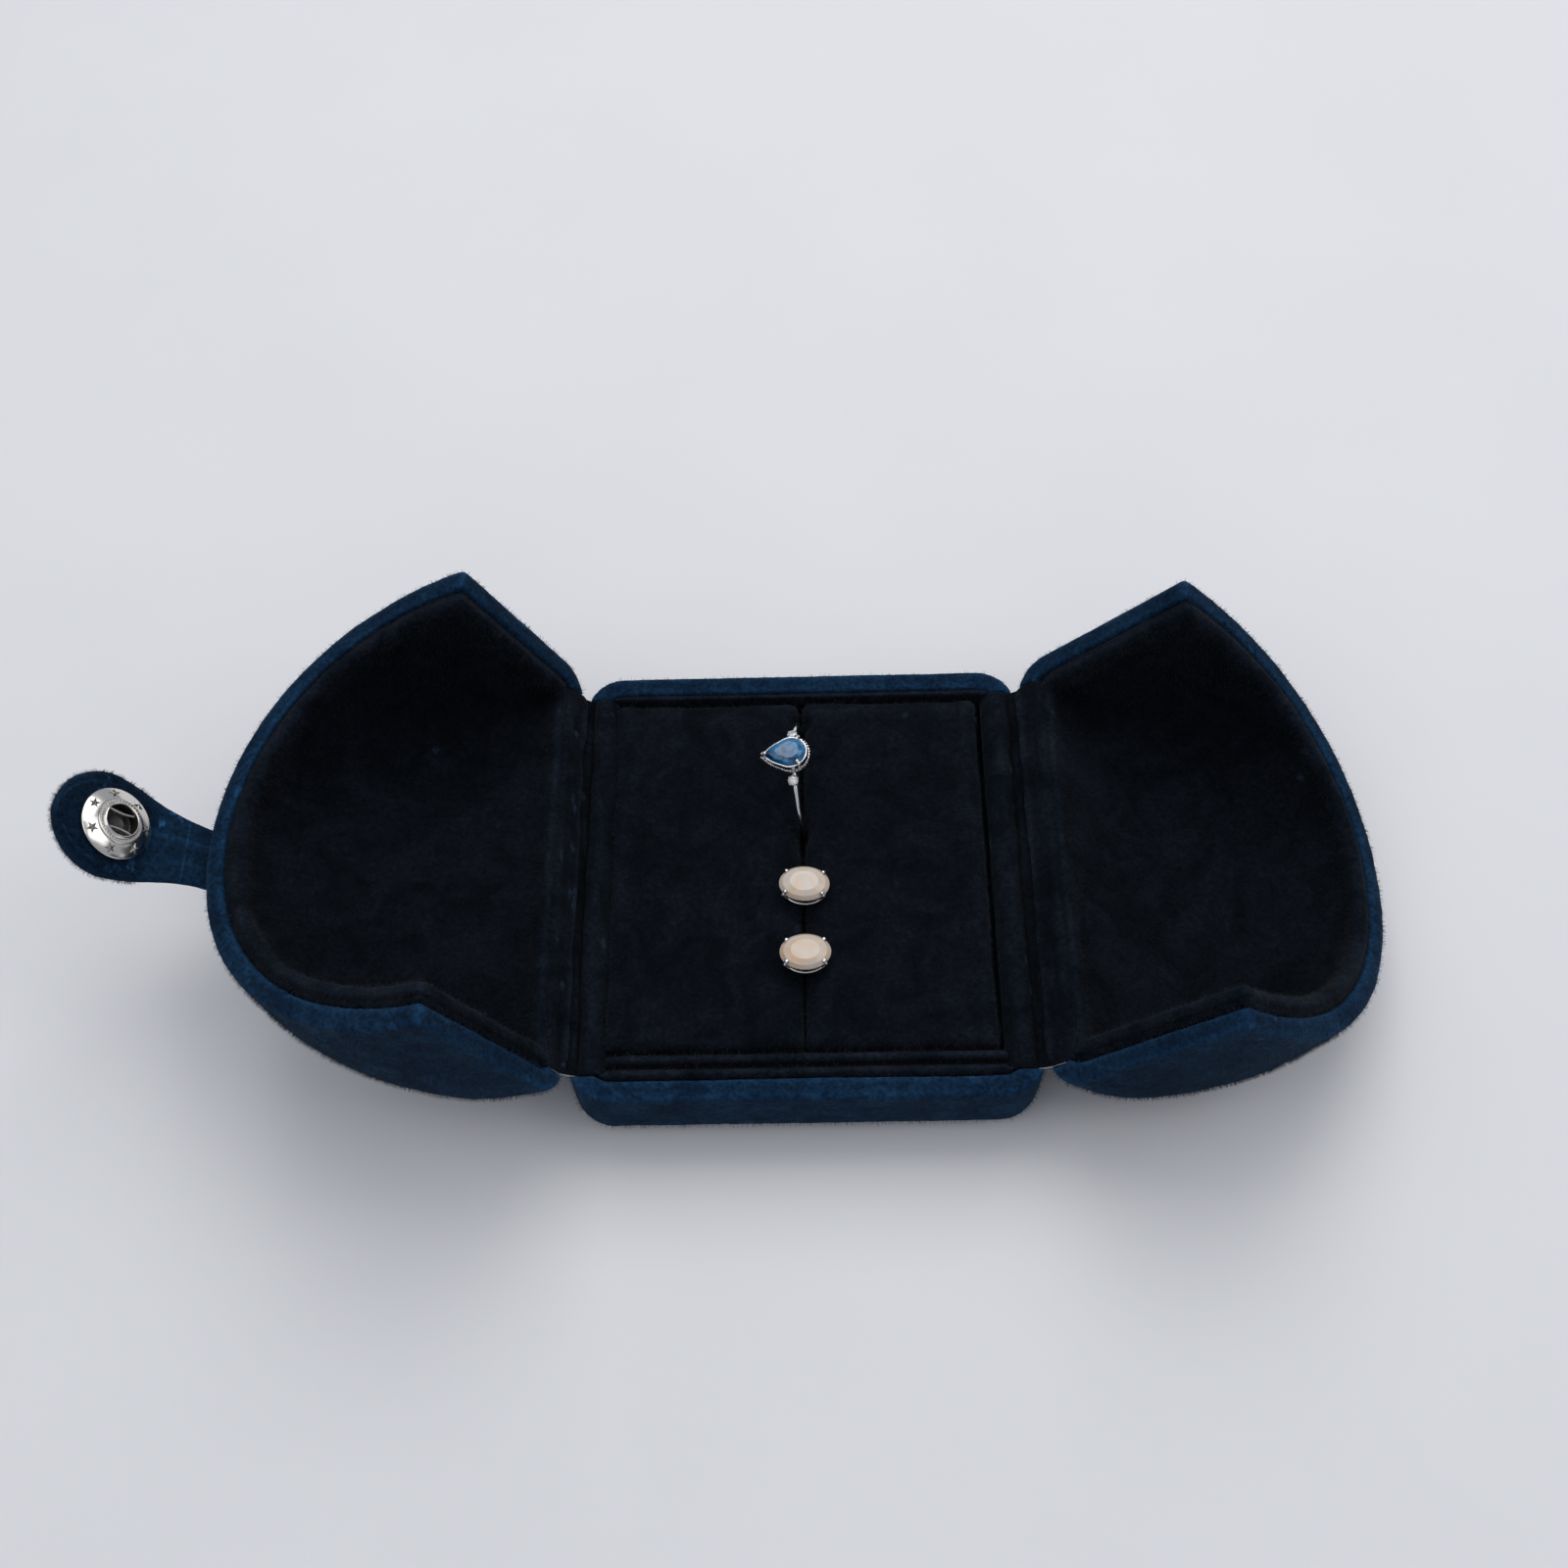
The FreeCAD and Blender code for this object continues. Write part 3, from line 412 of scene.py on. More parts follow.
def velvet(name, deep, lit, sheen, tint):
    """Short-pile velvet in brushed patches, with painted shade in its creases and a painted highlight on its
    ridges and edges.
    """
    material, nodes, links, shader = new_material(name, Sheen_Roughness=0.4, Sheen_Tint=(*tint, 1),
                                                  Roughness=0.95, Specular_IOR_Level=0.08)
    patches = object_noise(nodes, links, 130.0, 4.0, distortion=1.2)
    fibres = object_noise(nodes, links, 1500.0, 3.0)
    colour = ramp(nodes, links, patches, deep, lit)
    speckle = ramp(nodes, links, fibres, (0.55,) * 3, (1.6,) * 3, (0.3, 0.75))
    convex = nodes.new("ShaderNodeNewGeometry").outputs["Pointiness"]
    # painted shade and highlight: pointiness darkens hollows and creases and brightens ridges and edges in
    # the base colour
    ridge = ramp(nodes, links, convex, (0.18,) * 3, (3.8,) * 3, (0.47, 0.585))
    colour = mixed(nodes, links, colour, speckle, how="MULTIPLY")
    links.new(mixed(nodes, links, colour, ridge, how="MULTIPLY"), shader.inputs["Base Color"])
    links.new(spread(nodes, links, patches, 0.25 * sheen, sheen, (0.3, 0.7)), shader.inputs["Sheen Weight"])
    roughen(nodes, links, shader, fibres, 0.8, 0.00025)
    return material


def metal(name, colour, roughness, scratch_scale):
    """Polished plating with fine wear in its roughness and painted shade in its creases."""
    material, nodes, links, shader = new_material(name, Metallic=1.0)
    convex = nodes.new("ShaderNodeNewGeometry").outputs["Pointiness"]
    # painted shade: pointiness darkens the metal's creases and hollows to 30% of its colour
    painted_crease_shade = tuple(0.3 * c for c in colour)
    links.new(ramp(nodes, links, convex, painted_crease_shade, colour, (0.40, 0.49)), shader.inputs["Base Color"])
    wear = object_noise(nodes, links, scratch_scale, 5.0, (1, 6, 1))
    links.new(spread(nodes, links, wear, 0.6 * roughness, 1.7 * roughness), shader.inputs["Roughness"])
    roughen(nodes, links, shader, wear, 0.12, 0.00005)
    return material


def gem(name, colour, zone, ior, clear):
    """Faceted stone with darker and lighter colour zones."""
    material, nodes, links, shader = new_material(name, Transmission_Weight=clear, Roughness=0.03, IOR=ior,
                                                  Coat_Weight=0.4, Coat_Roughness=0.02)
    zones = object_noise(nodes, links, 420.0, 2.0, distortion=2.0)
    links.new(ramp(nodes, links, zones, colour, zone), shader.inputs["Base Color"])
    return material


def opal_material():
    """Milky cream stone with faint pastel fire."""
    material, nodes, links, shader = new_material(
        "opal", Subsurface_Weight=0.35, Subsurface_Radius=(0.0012, 0.0009, 0.0007), Subsurface_Scale=1.0,
        Roughness=0.22, Coat_Weight=0.3, Coat_Roughness=0.08)
    cloud = object_noise(nodes, links, 260.0, 3.0, distortion=1.0)
    body = ramp(nodes, links, cloud, (0.50, 0.34, 0.19), (0.50, 0.46, 0.43), (0.35, 0.7))
    fire = object_noise(nodes, links, 700.0, 2.0, distortion=3.0)
    flash = ramp(nodes, links, fire, (0.62, 0.80, 0.78), (0.95, 0.70, 0.66), (0.42, 0.6))
    links.new(mixed(nodes, links, body, flash, 0.18), shader.inputs["Base Color"])
    return material


def tinted(name, scale, detail, low, high, **settings):
    """A plain finish whose colour drifts between low and high."""
    material, nodes, links, shader = new_material(name, **settings)
    drift = object_noise(nodes, links, scale, detail)
    links.new(ramp(nodes, links, drift, low, high), shader.inputs["Base Color"])
    return material


def fibre_material(name, colour):
    """Matt single fibres."""
    dark = tuple(0.6 * c for c in colour)
    return tinted(name, 900.0, 2.0, dark, colour, Roughness=0.6, Specular_IOR_Level=0.25)


NAVY = velvet("navy_velvet", (0.0018, 0.0085, 0.0220), (0.0035, 0.0155, 0.0360), 0.22, (0.09, 0.22, 0.38))
BLACK = velvet("black_velvet", (0.0008, 0.0019, 0.0036), (0.0030, 0.0044, 0.0076), 0.13, (0.24, 0.30, 0.40))
CARD = velvet("pad_card", (0.006, 0.007, 0.009), (0.009, 0.010, 0.012), 0.1, (0.3, 0.3, 0.3))
NICKEL = metal("nickel", (0.74, 0.71, 0.67), 0.16, 900.0)
# painted shade: a near-black copy of the nickel for the inside of the socket's well
WELL_PAINTED_SHADE = metal("well_nickel_painted_shade", (0.10, 0.095, 0.09), 0.4, 900.0)
SILVER = metal("silver", (0.88, 0.87, 0.86), 0.12, 1400.0)
STEEL = metal("steel_wire", (0.6, 0.58, 0.55), 0.25, 1200.0)
TOPAZ = gem("blue_topaz", (0.001, 0.022, 0.075), (0.01, 0.19, 0.42), 1.5, 0.12)
BRILLIANT = gem("clear_gem", (0.9, 0.92, 0.95), (1.0, 1.0, 1.0), 2.1, 0.75)
OPAL = opal_material()
PLASTIC = tinted("clear_plastic", 900.0, 3.0, (0.62, 0.68, 0.72), (0.85, 0.88, 0.9),
                 Transmission_Weight=0.45, Roughness=0.22, IOR=1.46)
NAVY_FIBRE = fibre_material("navy_fibre", (0.006, 0.022, 0.050))
BLACK_FIBRE = fibre_material("black_fibre", (0.010, 0.013, 0.020))


# ---- doors ---------------------------------------------------------------------------------------
def dome_slab(name, near, far, stations=61, across=121):
    """A closed wall between two insets of the dome, shut, on the left."""
    outer, inner = dome_grid(near, stations, across), dome_grid(far, stations, across)
    count = stations * across
    faces = grid_faces(stations, across) + grid_faces(stations, across, count, flip=True)
    loop = [k for k in range(across)]
    loop += [i * across + across - 1 for i in range(1, stations)]
    loop += [(stations - 1) * across + k for k in range(across - 2, -1, -1)]
    loop += [i * across for i in range(stations - 2, 0, -1)]
    for a, b in zip(loop, loop[1:] + loop[:1]):
        faces.append((b, a, a + count, b + count))
    points = np.vstack([outer.reshape(-1, 3), inner.reshape(-1, 3)])
    return new_mesh(name, points, faces)


FABRIC_VOXEL = 0.42
HINGE_STRIP_Y = node_box("left_hinge_lining_door_half")[1][1]
STRIP_ROOM = 1.3          # the strip's room above the door's rim on the hinge side


def make_room_for_strip(points, inset, rise):
    """Lifts the hinge-side rim by rise where the hinge strip lies."""
    beside = 1.0 - step(HINGE_STRIP_Y - 0.2, HINGE_STRIP_Y + 0.9, np.abs(points[:, 1]))
    near = 1.0 - step(inset, inset + 1.2, points[:, 0] + HINGE_X)
    floor = RIM_Z + rise * beside * near
    points[:, 2] = np.maximum(points[:, 2], floor)
    return points


def door_cover(side, seed):
    """Navy velvet over the whole door and round its rim."""
    name = side + "_door_velvet"
    obj = voxel(dome_slab(name, 0.15, COVER_END), FABRIC_VOXEL)
    relax(obj, 9)
    points = make_room_for_strip(get_points(obj), 3.2, STRIP_ROOM)
    set_points(obj, points)
    velvet_relief(obj, seed, 0.10, 0.045)
    points = get_points(obj)
    points[:, 0] = np.minimum(points[:, 0], -MEET_GAP * 0.6)
    points[:, 2] = np.maximum(points[:, 2], RIM_Z - 0.03)
    set_points(obj, open_door(points, side))
    finish_piece(obj, NAVY, "navy_velvet", side + "_door", side + "_door_velvet_cover", side + "_door_shell")
    fuzz(obj, side + "_door", 60000, seed + 40, NAVY_FIBRE)


IMPRINT_AT = np.array([[61.0, 15.5, 12.0]])    # with the right door at rest


def round_imprint(points, side):
    """A round dent in the right door's lining, with a low bank round it."""
    if side != "right":
        return np.zeros(len(points))
    distance = np.linalg.norm(points - shut_door(IMPRINT_AT, "right"), axis=1)
    uneven = 0.55 + 0.45 * value_noise(points, 5.0, 7)
    return uneven * (0.16 * bell(distance, 7.9, 1.2) - 0.22 * bell(distance, 6.4, 0.9))


def door_lining(side, seed):
    """Padded black lining: thick and round at the rim, above all in front, and softly uneven inside."""
    name = side + "_door_padded_lining"
    obj = voxel(dome_slab(name, LINING_START + 0.1, LINING_END), 0.45)
    points = get_points(obj)
    hinge_side = 1.0 - step(5.6, 7.6, points[:, 0] + HINGE_X)
    points[:, 2] = np.maximum(points[:, 2], RIM_Z + 0.25 + 1.15 * hinge_side)
    points[:, 0] = np.minimum(points[:, 0], -MEET_GAP - 0.25)
    set_points(obj, points)
    relax(obj, 24)
    points, n = get_points(obj), normals(obj)
    from_rim = np.minimum(-MEET_GAP - points[:, 0], points[:, 2] - RIM_Z)
    front = 1.0 - step(-HALF_Y + 6.0, -HALF_Y + 16.0, points[:, 1])
    lip = (0.45 + 0.55 * front) * bell(from_rim, 1.6, 1.8) - 0.12 * bell(from_rim, 6.0, 3.0)
    folds = 0.26 * value_noise(points * np.array([1.0, 0.4, 1.0]), 8.0, seed) * step(1.0, 6.0, from_rim)
    nap = 0.07 * value_noise(points, 2.4, seed + 9)
    inside = step(LINING_START + 1.2, LINING_START + 1.8, np.abs(inset_of(points)))
    lift = (lip + folds + nap + round_imprint(points, side)) * inside
    set_points(obj, points + n * lift[:, None])
    velvet_relief(obj, seed, 0.10, 0.05)
    points = get_points(obj)
    points[:, 0] = np.minimum(points[:, 0], -MEET_GAP * 0.6)
    points[:, 2] = np.maximum(points[:, 2], RIM_Z + 0.02)
    set_points(obj, open_door(points, side))
    finish_piece(obj, BLACK, "black_velvet", side + "_door", side + "_door_lining", side + "_door_foam")
    fuzz(obj, side + "_door", 40000, seed + 40, BLACK_FIBRE)


def inset_of(points):
    """Roughly how far points lie in from the dome's outside."""
    depth, height = HINGE_X - MEET_GAP, DOME_TOP - RIM_Z
    back = np.clip((-MEET_GAP - points[:, 0]) / depth, 0, 1)
    power = ARCH_POWER_MEET + (ARCH_POWER_HINGE - ARCH_POWER_MEET) * back ** ARCH_POWER_EASE
    tall = height * np.sqrt(np.maximum(1 - back ** 2, 1e-6))
    across, up = np.abs(points[:, 1] / HALF_Y), np.abs((points[:, 2] - RIM_Z) / tall)
    share = (across ** power + up ** power) ** (1 / power)
    to_arch = (1 - share) * np.hypot(points[:, 1], points[:, 2] - RIM_Z) / np.maximum(share, 0.05)
    dome_share = np.sqrt(back ** 2 + ((points[:, 2] - RIM_Z) / height) ** 2)
    to_dome = (1 - dome_share) * np.hypot(depth * back, points[:, 2] - RIM_Z) / np.maximum(dome_share, 0.05)
    return np.minimum(np.minimum(to_arch, to_dome), HINGE_X + points[:, 0])


# ---- hinge strips --------------------------------------------------------------------------------
def thick_sheet(centre, half, length_ys, wobble):
    """A strip with a rounded cross-section along centre, a list of (x, z), drawn out over length_ys."""
    centre = np.array(centre, float)
    along = np.gradient(centre, axis=0)
    along /= np.linalg.norm(along, axis=1)[:, None]
    up = np.stack([along[:, 1], -along[:, 0]], axis=1)
    count = len(centre)
    taper = np.sqrt(np.clip(np.minimum(np.arange(count), np.arange(count)[::-1]) / 3.0, 0.08, 1.0))
    rows = []
    for y in length_ys:
        push = wobble(centre, y)
        top = centre + up * (half * taper + push)[:, None]
        bottom = centre - up * (half * taper)[:, None]
        loop = np.vstack([top, bottom[::-1]])
        rows.append(np.stack([loop[:, 0], np.full(len(loop), y), loop[:, 1]], axis=1))
    points = np.vstack(rows)
    size = 2 * count
    faces = grid_faces(len(length_ys), size, wrap=True)
    faces.append(tuple(range(size))[::-1])
    faces.append(tuple(range(len(points) - size, len(points))))
    return points, faces


def curve_through(knots, count):
    """Evenly spaced points on a smooth curve through knots."""
    knots = np.array(knots, float)
    t = np.linspace(0, len(knots) - 1, count)
    padded = np.vstack([2 * knots[0] - knots[1], knots, 2 * knots[-1] - knots[-2]])
    i = np.minimum(t.astype(int), len(knots) - 2)
    f = (t - i)[:, None]
    a, b, c, d = padded[i], padded[i + 1], padded[i + 2], padded[i + 3]
    square, cube = 2 * a - 5 * b + 4 * c - d, 3 * b - a - 3 * c + d
    return 0.5 * (2 * b + (c - a) * f + square * f ** 2 + cube * f ** 3)


def door_line(side, px, pz):
    """A point of the left door's section at rest, px in from the hinge and pz above the rim."""
    point = np.array([[-HINGE_X + px, 0.0, HINGE_Z + pz]])
    turned = turn_xz(point, -HINGE_X, HINGE_Z, OPEN[side])
    return turned[0, 0], turned[0, 2]


HINGE_BLEND_X = 0.9        # distance in from the hinge of the door-side point that bridge_hinge works out


def bridge_hinge(side, name, parts, material, slot_name, nodes, heights):
    """A sheet across the hinge, mirrored for the right door and fixed where it lies at rest; the door-side
    point it works out from heights is not used.
    """
    points, faces = parts
    flip = -1 if side == "right" else 1
    points[:, 0] *= flip
    obj = new_mesh(side + name, points, faces)
    finish_piece(obj, material, slot_name, None, side + nodes.format("base"), side + nodes.format("door"))
    end_x, end_z = door_line(side, HINGE_BLEND_X, heights[1])
    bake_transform(obj)


def hinge_lining(side, seed):
    """Velvet from the tray wall over the hinge and on to the door, in two soft lengthwise rolls."""
    low = HINGE_Z - 0.1
    knots = [(-HINGE_X + 5.2, low - 3.6), (-HINGE_X + 5.1, low - 1.8), (-HINGE_X + 4.2, low - 0.75),
             (-HINGE_X + 2.4, low - 0.6), (-HINGE_X + 0.9, low - 1.0)]
    on_door = ((0.6, 0.75), (1.6, 0.45), (3.4, 0.55), (4.7, 0.75), (5.25, 1.9), (5.2, 3.4))
    knots += [door_line(side, px, pz) for px, pz in on_door]
    centre = curve_through(knots, 90)
    half_y = HINGE_STRIP_Y - 0.1
    ys = half_y * np.sin(0.5 * math.pi * np.linspace(-1, 1, 170))
    at_hinge = np.linspace(0, 1, len(centre))

    def wobble(line, y):
        spots = np.stack([line[:, 0], np.full(len(line), y * 0.3), line[:, 1]], axis=1)
        rolls = 0.26 * value_noise(spots, 1.5, seed) + 0.2 * value_noise(spots, 3.4, seed + 4)
        rolls += 0.06 * value_noise(spots * np.array([1.0, 3.0, 1.0]), 0.7, seed + 8)
        tray_roll, door_roll = 0.8 * bell(at_hinge, 0.27, 0.07), 0.6 * bell(at_hinge, 0.58, 0.045)
        end = np.sqrt(np.clip((half_y - abs(y)) / 1.6, 0.0, 1.0))
        middle = step(0.08, 0.2, at_hinge) * (1 - step(0.85, 0.95, at_hinge))
        return (rolls * middle + tray_roll + door_roll) * end

    bridge_hinge(side, "_hinge_velvet", thick_sheet(centre, 0.36, ys, wobble), BLACK, "black_velvet",
                 "_hinge_lining_{}_half", (low - 0.5, 0.5))


def hinge_plastic(side):
    """Clear strip under the hinge velvet; its front corner shows past the velvet."""
    low = HINGE_Z - 1.15
    knots = [(-HINGE_X + 3.3, low), (-HINGE_X + 2.2, low), (-HINGE_X + 0.8, low + 0.1)]
    knots += [door_line(side, px, pz) for px, pz in ((0.8, 1.1), (2.2, 1.15), (3.3, 1.15))]
    line = curve_through(knots, 30)
    ys = np.linspace(-HINGE_STRIP_Y, HINGE_STRIP_Y, 24)
    points, faces = thick_sheet(line, 0.16, ys, lambda centre, y: np.zeros(len(centre)))
    inner = 1.0 - step(HINGE_STRIP_Y - 1.6, HINGE_STRIP_Y - 0.4, np.abs(points[:, 1]))
    points[:, 2] -= 0.6 * inner
    bridge_hinge(side, "_hinge_plastic", (points, faces), PLASTIC, "clear_plastic", "_hinge_plastic_{}_leaf",
                 (low, 1.0))


# ---- base, tray and pad --------------------------------------------------------------------------
def base_velvet():
    obj = voxel(join_nodes("base_velvet", "base_velvet_cover", "base_shell"), FABRIC_VOXEL)
    relax(obj, 8)
    points = get_points(obj)
    flat = 1.0 - step(0.0, 0.8, points[:, 2])
    velvet_relief(obj, 31, 0.09, 0.045)
    moved = get_points(obj)
    moved[:, 2] = np.where(flat > 0.5, np.maximum(moved[:, 2], 0.0), moved[:, 2])
    set_points(obj, moved)
    finish_piece(obj, NAVY, "navy_velvet", "base", "base_velvet_cover", "base_shell")
    fuzz(obj, "base", 30000, 91, NAVY_FIBRE, lambda p: p[:, 2] > 1.0)


def tray_velvet():
    """The frame round the pad; its front ledge has two soft ridges and its rear ledge one."""
    obj = voxel(join_nodes("tray_velvet", "tray_frame"), 0.34)
    relax(obj, 6)
    points = get_points(obj)
    low, high = node_box("tray_frame")
    on_top = step(high[2] - 1.2, high[2] - 0.3, points[:, 2])
    front = low[1]
    ridges = 0.42 * bell(points[:, 1], front + 0.9, 0.55) + 0.5 * bell(points[:, 1], front + 3.1, 0.6)
    groove = -0.75 * bell(points[:, 1], front + 1.95, 0.4)
    rear = 0.75 * bell(points[:, 1], high[1] - 1.3, 0.75)
    points[:, 2] += on_top * (ridges + groove + rear - 0.25)
    set_points(obj, points)
    velvet_relief(obj, 41, 0.10, 0.05)
    finish_piece(obj, BLACK, "black_velvet", "base", "tray_frame")
    fuzz(obj, "base", 20000, 92, BLACK_FIBRE, lambda p: p[:, 2] > high[2] - 2.0)


def slit_opening(points):
    """How far the slit is pushed open: at the ring's two feet and at the earring posts."""
    ring_low, ring_high = node_box("ring_band")
    opening = np.zeros(len(points))
    front_foot = ring_low[1] + 0.2
    rear_foot = ring_high[1] - 0.2
    for centre, width, amount in ((front_foot - 0.4, 1.9, 1.0), (rear_foot + 0.2, 1.6, 0.95)):
        opening = np.maximum(opening, amount * bell(points[:, 1], centre, width))
    for place in ("back", "front"):
        post_low, post_high = node_box(place + "_earring_setting")
        opening = np.maximum(opening, 0.45 * bell(points[:, 1], 0.5 * (post_low[1] + post_high[1]), 1.6))
    return opening


def pad_half(side, seed):
    """One half of the pad: crowned, rolled over at its edges, pressed open where something stands in it."""
    low, high = node_box(side + "_pad_velvet")
    block = [(a, b, c) for a in (low[0], high[0]) for b in (low[1], high[1]) for c in (low[2], high[2])]
    faces = [(0, 1, 3, 2), (4, 6, 7, 5), (0, 4, 5, 1), (2, 3, 7, 6), (0, 2, 6, 4), (1, 5, 7, 3)]
    obj = voxel(new_mesh(side + "_pad_half", block, faces), 0.9)
    relax(obj, 3)
    puff(obj)
    obj = voxel(obj, FABRIC_VOXEL)
    relax(obj, 4)
    points = get_points(obj)
    top = step(high[2] - 3.0, high[2] - 0.5, points[:, 2])
    slit_x, edge_x = (high[0], low[0]) if side == "left" else (low[0], high[0])
    from_slit = np.abs(points[:, 0] - slit_x)
    open_by = slit_opening(points)
    away = -1.0 if side == "left" else 1.0
    upper = step(high[2] - 6.0, high[2] - 1.5, points[:, 2])
    points[:, 0] += away * 0.75 * open_by * (1 - step(0.0, 2.6, from_slit)) * upper
    points[:, 2] -= 0.5 * open_by * (1 - step(0.0, 2.4, from_slit)) * top
    from_edge = np.abs(points[:, 0] - edge_x)
    points[:, 0] += away * 0.5 * top * (1 - step(0.0, 2.5, from_edge))
    outer = np.minimum(from_edge, points[:, 1] - low[1])
    points[:, 2] += top * (0.28 * bell(outer, 1.5, 1.1) - 0.22 * bell(outer, 4.2, 1.6))
    set_points(obj, points)
    velvet_relief(obj, seed, 0.12, 0.05)
    points = get_points(obj)
    slit_limit = slit_x + away * 0.03
    points[:, 0] = away * np.maximum(away * points[:, 0], away * slit_limit)
    points[:, 2] = np.maximum(points[:, 2], low[2])
    set_points(obj, points)
    finish_piece(obj, BLACK, "black_velvet", "base", side + "_pad_velvet", side + "_pad_foam")
    fuzz(obj, "base", 24000, seed + 40, BLACK_FIBRE, lambda p: p[:, 2] > high[2] - 4.0)


PUFF_SCALE = 10.0         # the cloth is worked out at ten times the size
PUFF_CAP = 0.9            # most it may move a point
PUFF_SIDEWAYS = 0.35      # share of the sideways movement that is kept
PUFF_FRAMES = 20


def puff(obj):
    """Cloth under a little pressure: crowns the block and softens its corners."""
    before = get_points(obj)
    obj.data.transform(Matrix.Scale(PUFF_SCALE, 4))
    cloth = obj.modifiers.new("cloth", "CLOTH")
    cloth.settings.quality = 5
    cloth.settings.use_pressure = True
    cloth.settings.uniform_pressure_force = 3.0
    cloth.settings.effector_weights.gravity = 0.0
    cloth.settings.tension_stiffness = 25.0
    cloth.settings.compression_stiffness = 25.0
    cloth.settings.bending_stiffness = 4.0
    cloth.point_cache.frame_start = 1
    cloth.point_cache.frame_end = PUFF_FRAMES
    scene = bpy.context.scene
    for number in range(1, PUFF_FRAMES + 1):
        scene.frame_set(number)
    apply_modifiers(obj)
    obj.data.transform(Matrix.Scale(1 / PUFF_SCALE, 4))
    scene.frame_set(1)
    moved = get_points(obj) - before
    length = np.linalg.norm(moved, axis=1)
    moved *= (np.minimum(length, PUFF_CAP) / np.maximum(length, 1e-9))[:, None]
    moved[:, :2] *= PUFF_SIDEWAYS
    set_points(obj, before + moved)


# ---- strap ---------------------------------------------------------------------------------------
ACROSS = np.array([0.0, 1.0, 0.0])
STRAP_HALF_T = 0.95
STRAP_NECK = 5.05
STRAP_HEAD_R = 8.55
STRAP_SKEW = -1.1         # the neck lies this far to the front of the head
BEND_REACH = 2.2          # the strap curves over this length each side of its tip bend
MID_LENGTH = np.linalg.norm(TIP_BEND - SEAM)
MID_ALONG = (TIP_BEND - SEAM) / MID_LENGTH


def long_axis(name):
    """Direction of a flat CAD piece in the XZ plane, pointing away from the door."""
    flat = node_points(name)[:, [0, 2]]
    axis = np.linalg.eigh(np.cov((flat - flat.mean(axis=0)).T))[1][:, 1]
    axis = axis if axis[0] < 0 else -axis
    return np.array([axis[0], 0.0, axis[1]])


def outward(along):
    """Out of the strap's outer face."""
    return np.array([-along[2], 0.0, along[0]])


TIP_ALONG = long_axis("strap_tip_stiffener")
SOCKET_CENTRE = 0.5 * (node_box("snap_socket")[0] + node_box("snap_socket")[1])
BUTTON_U = MID_LENGTH + float((SOCKET_CENTRE - TIP_BEND) @ TIP_ALONG)
HEAD_U = BUTTON_U + 0.8


def dome_point(u):
    """Centre of the strap on the left door's dome, u from the seam, and the dome's outward direction."""
    x = shut_door(SEAM[None, :], "left")[0, 0] + u
    depth, height = HINGE_X - MEET_GAP, DOME_TOP - RIM_Z
    share = np.clip((-MEET_GAP - x) / depth, 0.0, 0.999)
    z = RIM_Z + height * math.sqrt(1 - share ** 2)
    slope = height / depth * share / math.sqrt(1 - share ** 2)
    up = np.array([-slope, 0.0, 1.0]) / math.hypot(slope, 1.0)
    centre = np.array([x, 0.0, z]) + up * 0.72
    rest = open_door(np.vstack([centre, centre + up]), "left")
    return rest[0], rest[1] - rest[0]


def strap_line(u):
    """Centre and outer direction of the strap: over the dome, straight from the seam, curled at the head."""
    lifts_off, straight_from = -2.6, 1.2
    if u < straight_from:
        share = float(step(lifts_off, straight_from, np.array(u)))
        on_dome, dome_up = dome_point(u)
        up = dome_up * (1 - share) + outward(MID_ALONG) * share
        return on_dome * (1 - share) + (SEAM + u * MID_ALONG) * share, up / np.linalg.norm(up)
    if u <= MID_LENGTH - BEND_REACH:
        return SEAM + u * MID_ALONG, outward(MID_ALONG)
    if u >= MID_LENGTH + BEND_REACH:
        return TIP_BEND + (u - MID_LENGTH) * TIP_ALONG, outward(TIP_ALONG)
    t = (u - MID_LENGTH + BEND_REACH) / (2 * BEND_REACH)
    start, end = TIP_BEND - BEND_REACH * MID_ALONG, TIP_BEND + BEND_REACH * TIP_ALONG
    along = (1 - t) * MID_ALONG + t * TIP_ALONG
    centre = (1 - t) ** 2 * start + 2 * t * (1 - t) * TIP_BEND + t ** 2 * end
    return centre, outward(along / np.linalg.norm(along))


def strap_half_width(u):
    """A neck that widens slowly into the round head."""
    if u > HEAD_U:
        return math.sqrt(max(STRAP_HEAD_R ** 2 - (u - HEAD_U) ** 2, 0.0))
    flare = float(step(1.0, HEAD_U + 1.0, np.array(u)))
    return min(STRAP_NECK + (STRAP_HEAD_R + 0.1 - STRAP_NECK) * flare ** 1.15, STRAP_HEAD_R)


def strap_section(u_values):
    """A closed loft of rounded sections. The inner face carries a raised seam and the head's fold line."""
    around = 88
    a = 2 * math.pi * np.arange(around) / around
    rows = []
    for u in u_values:
        half = max(strap_half_width(u), 0.02)
        thick = STRAP_HALF_T * min(1.0, math.sqrt(half / 1.6))
        v = np.sign(np.cos(a)) * np.abs(np.cos(a)) ** 0.62 * half
        w = np.sign(np.sin(a)) * np.abs(np.sin(a)) ** 0.7 * thick
        on_head = float(step(HEAD_U - 2.0, HEAD_U + 2.5, np.array(u)))
        ridge = 0.26 * bell(v, 1.3, 0.4) * (1 - on_head) + 0.16 * bell(v, -3.4, 0.5) * on_head
        fold = 0.2 * bell(half - np.abs(v), 1.9, 0.35) * on_head
        w = w - np.where(w < 0, (ridge + fold) * step(0.0, 1.6, half - np.abs(v)), 0.0)
        v = v + STRAP_SKEW * (1 - float(step(-2.0, 12.0, np.array(u))))
        centre, up = strap_line(u)
        rows.append(centre + v[:, None] * ACROSS + w[:, None] * up)
    points = np.vstack(rows)
    faces = grid_faces(len(u_values), around, wrap=True)
    faces.append(tuple(range(around))[::-1])
    faces.append(tuple(range(len(points) - around, len(points))))
    return points, faces


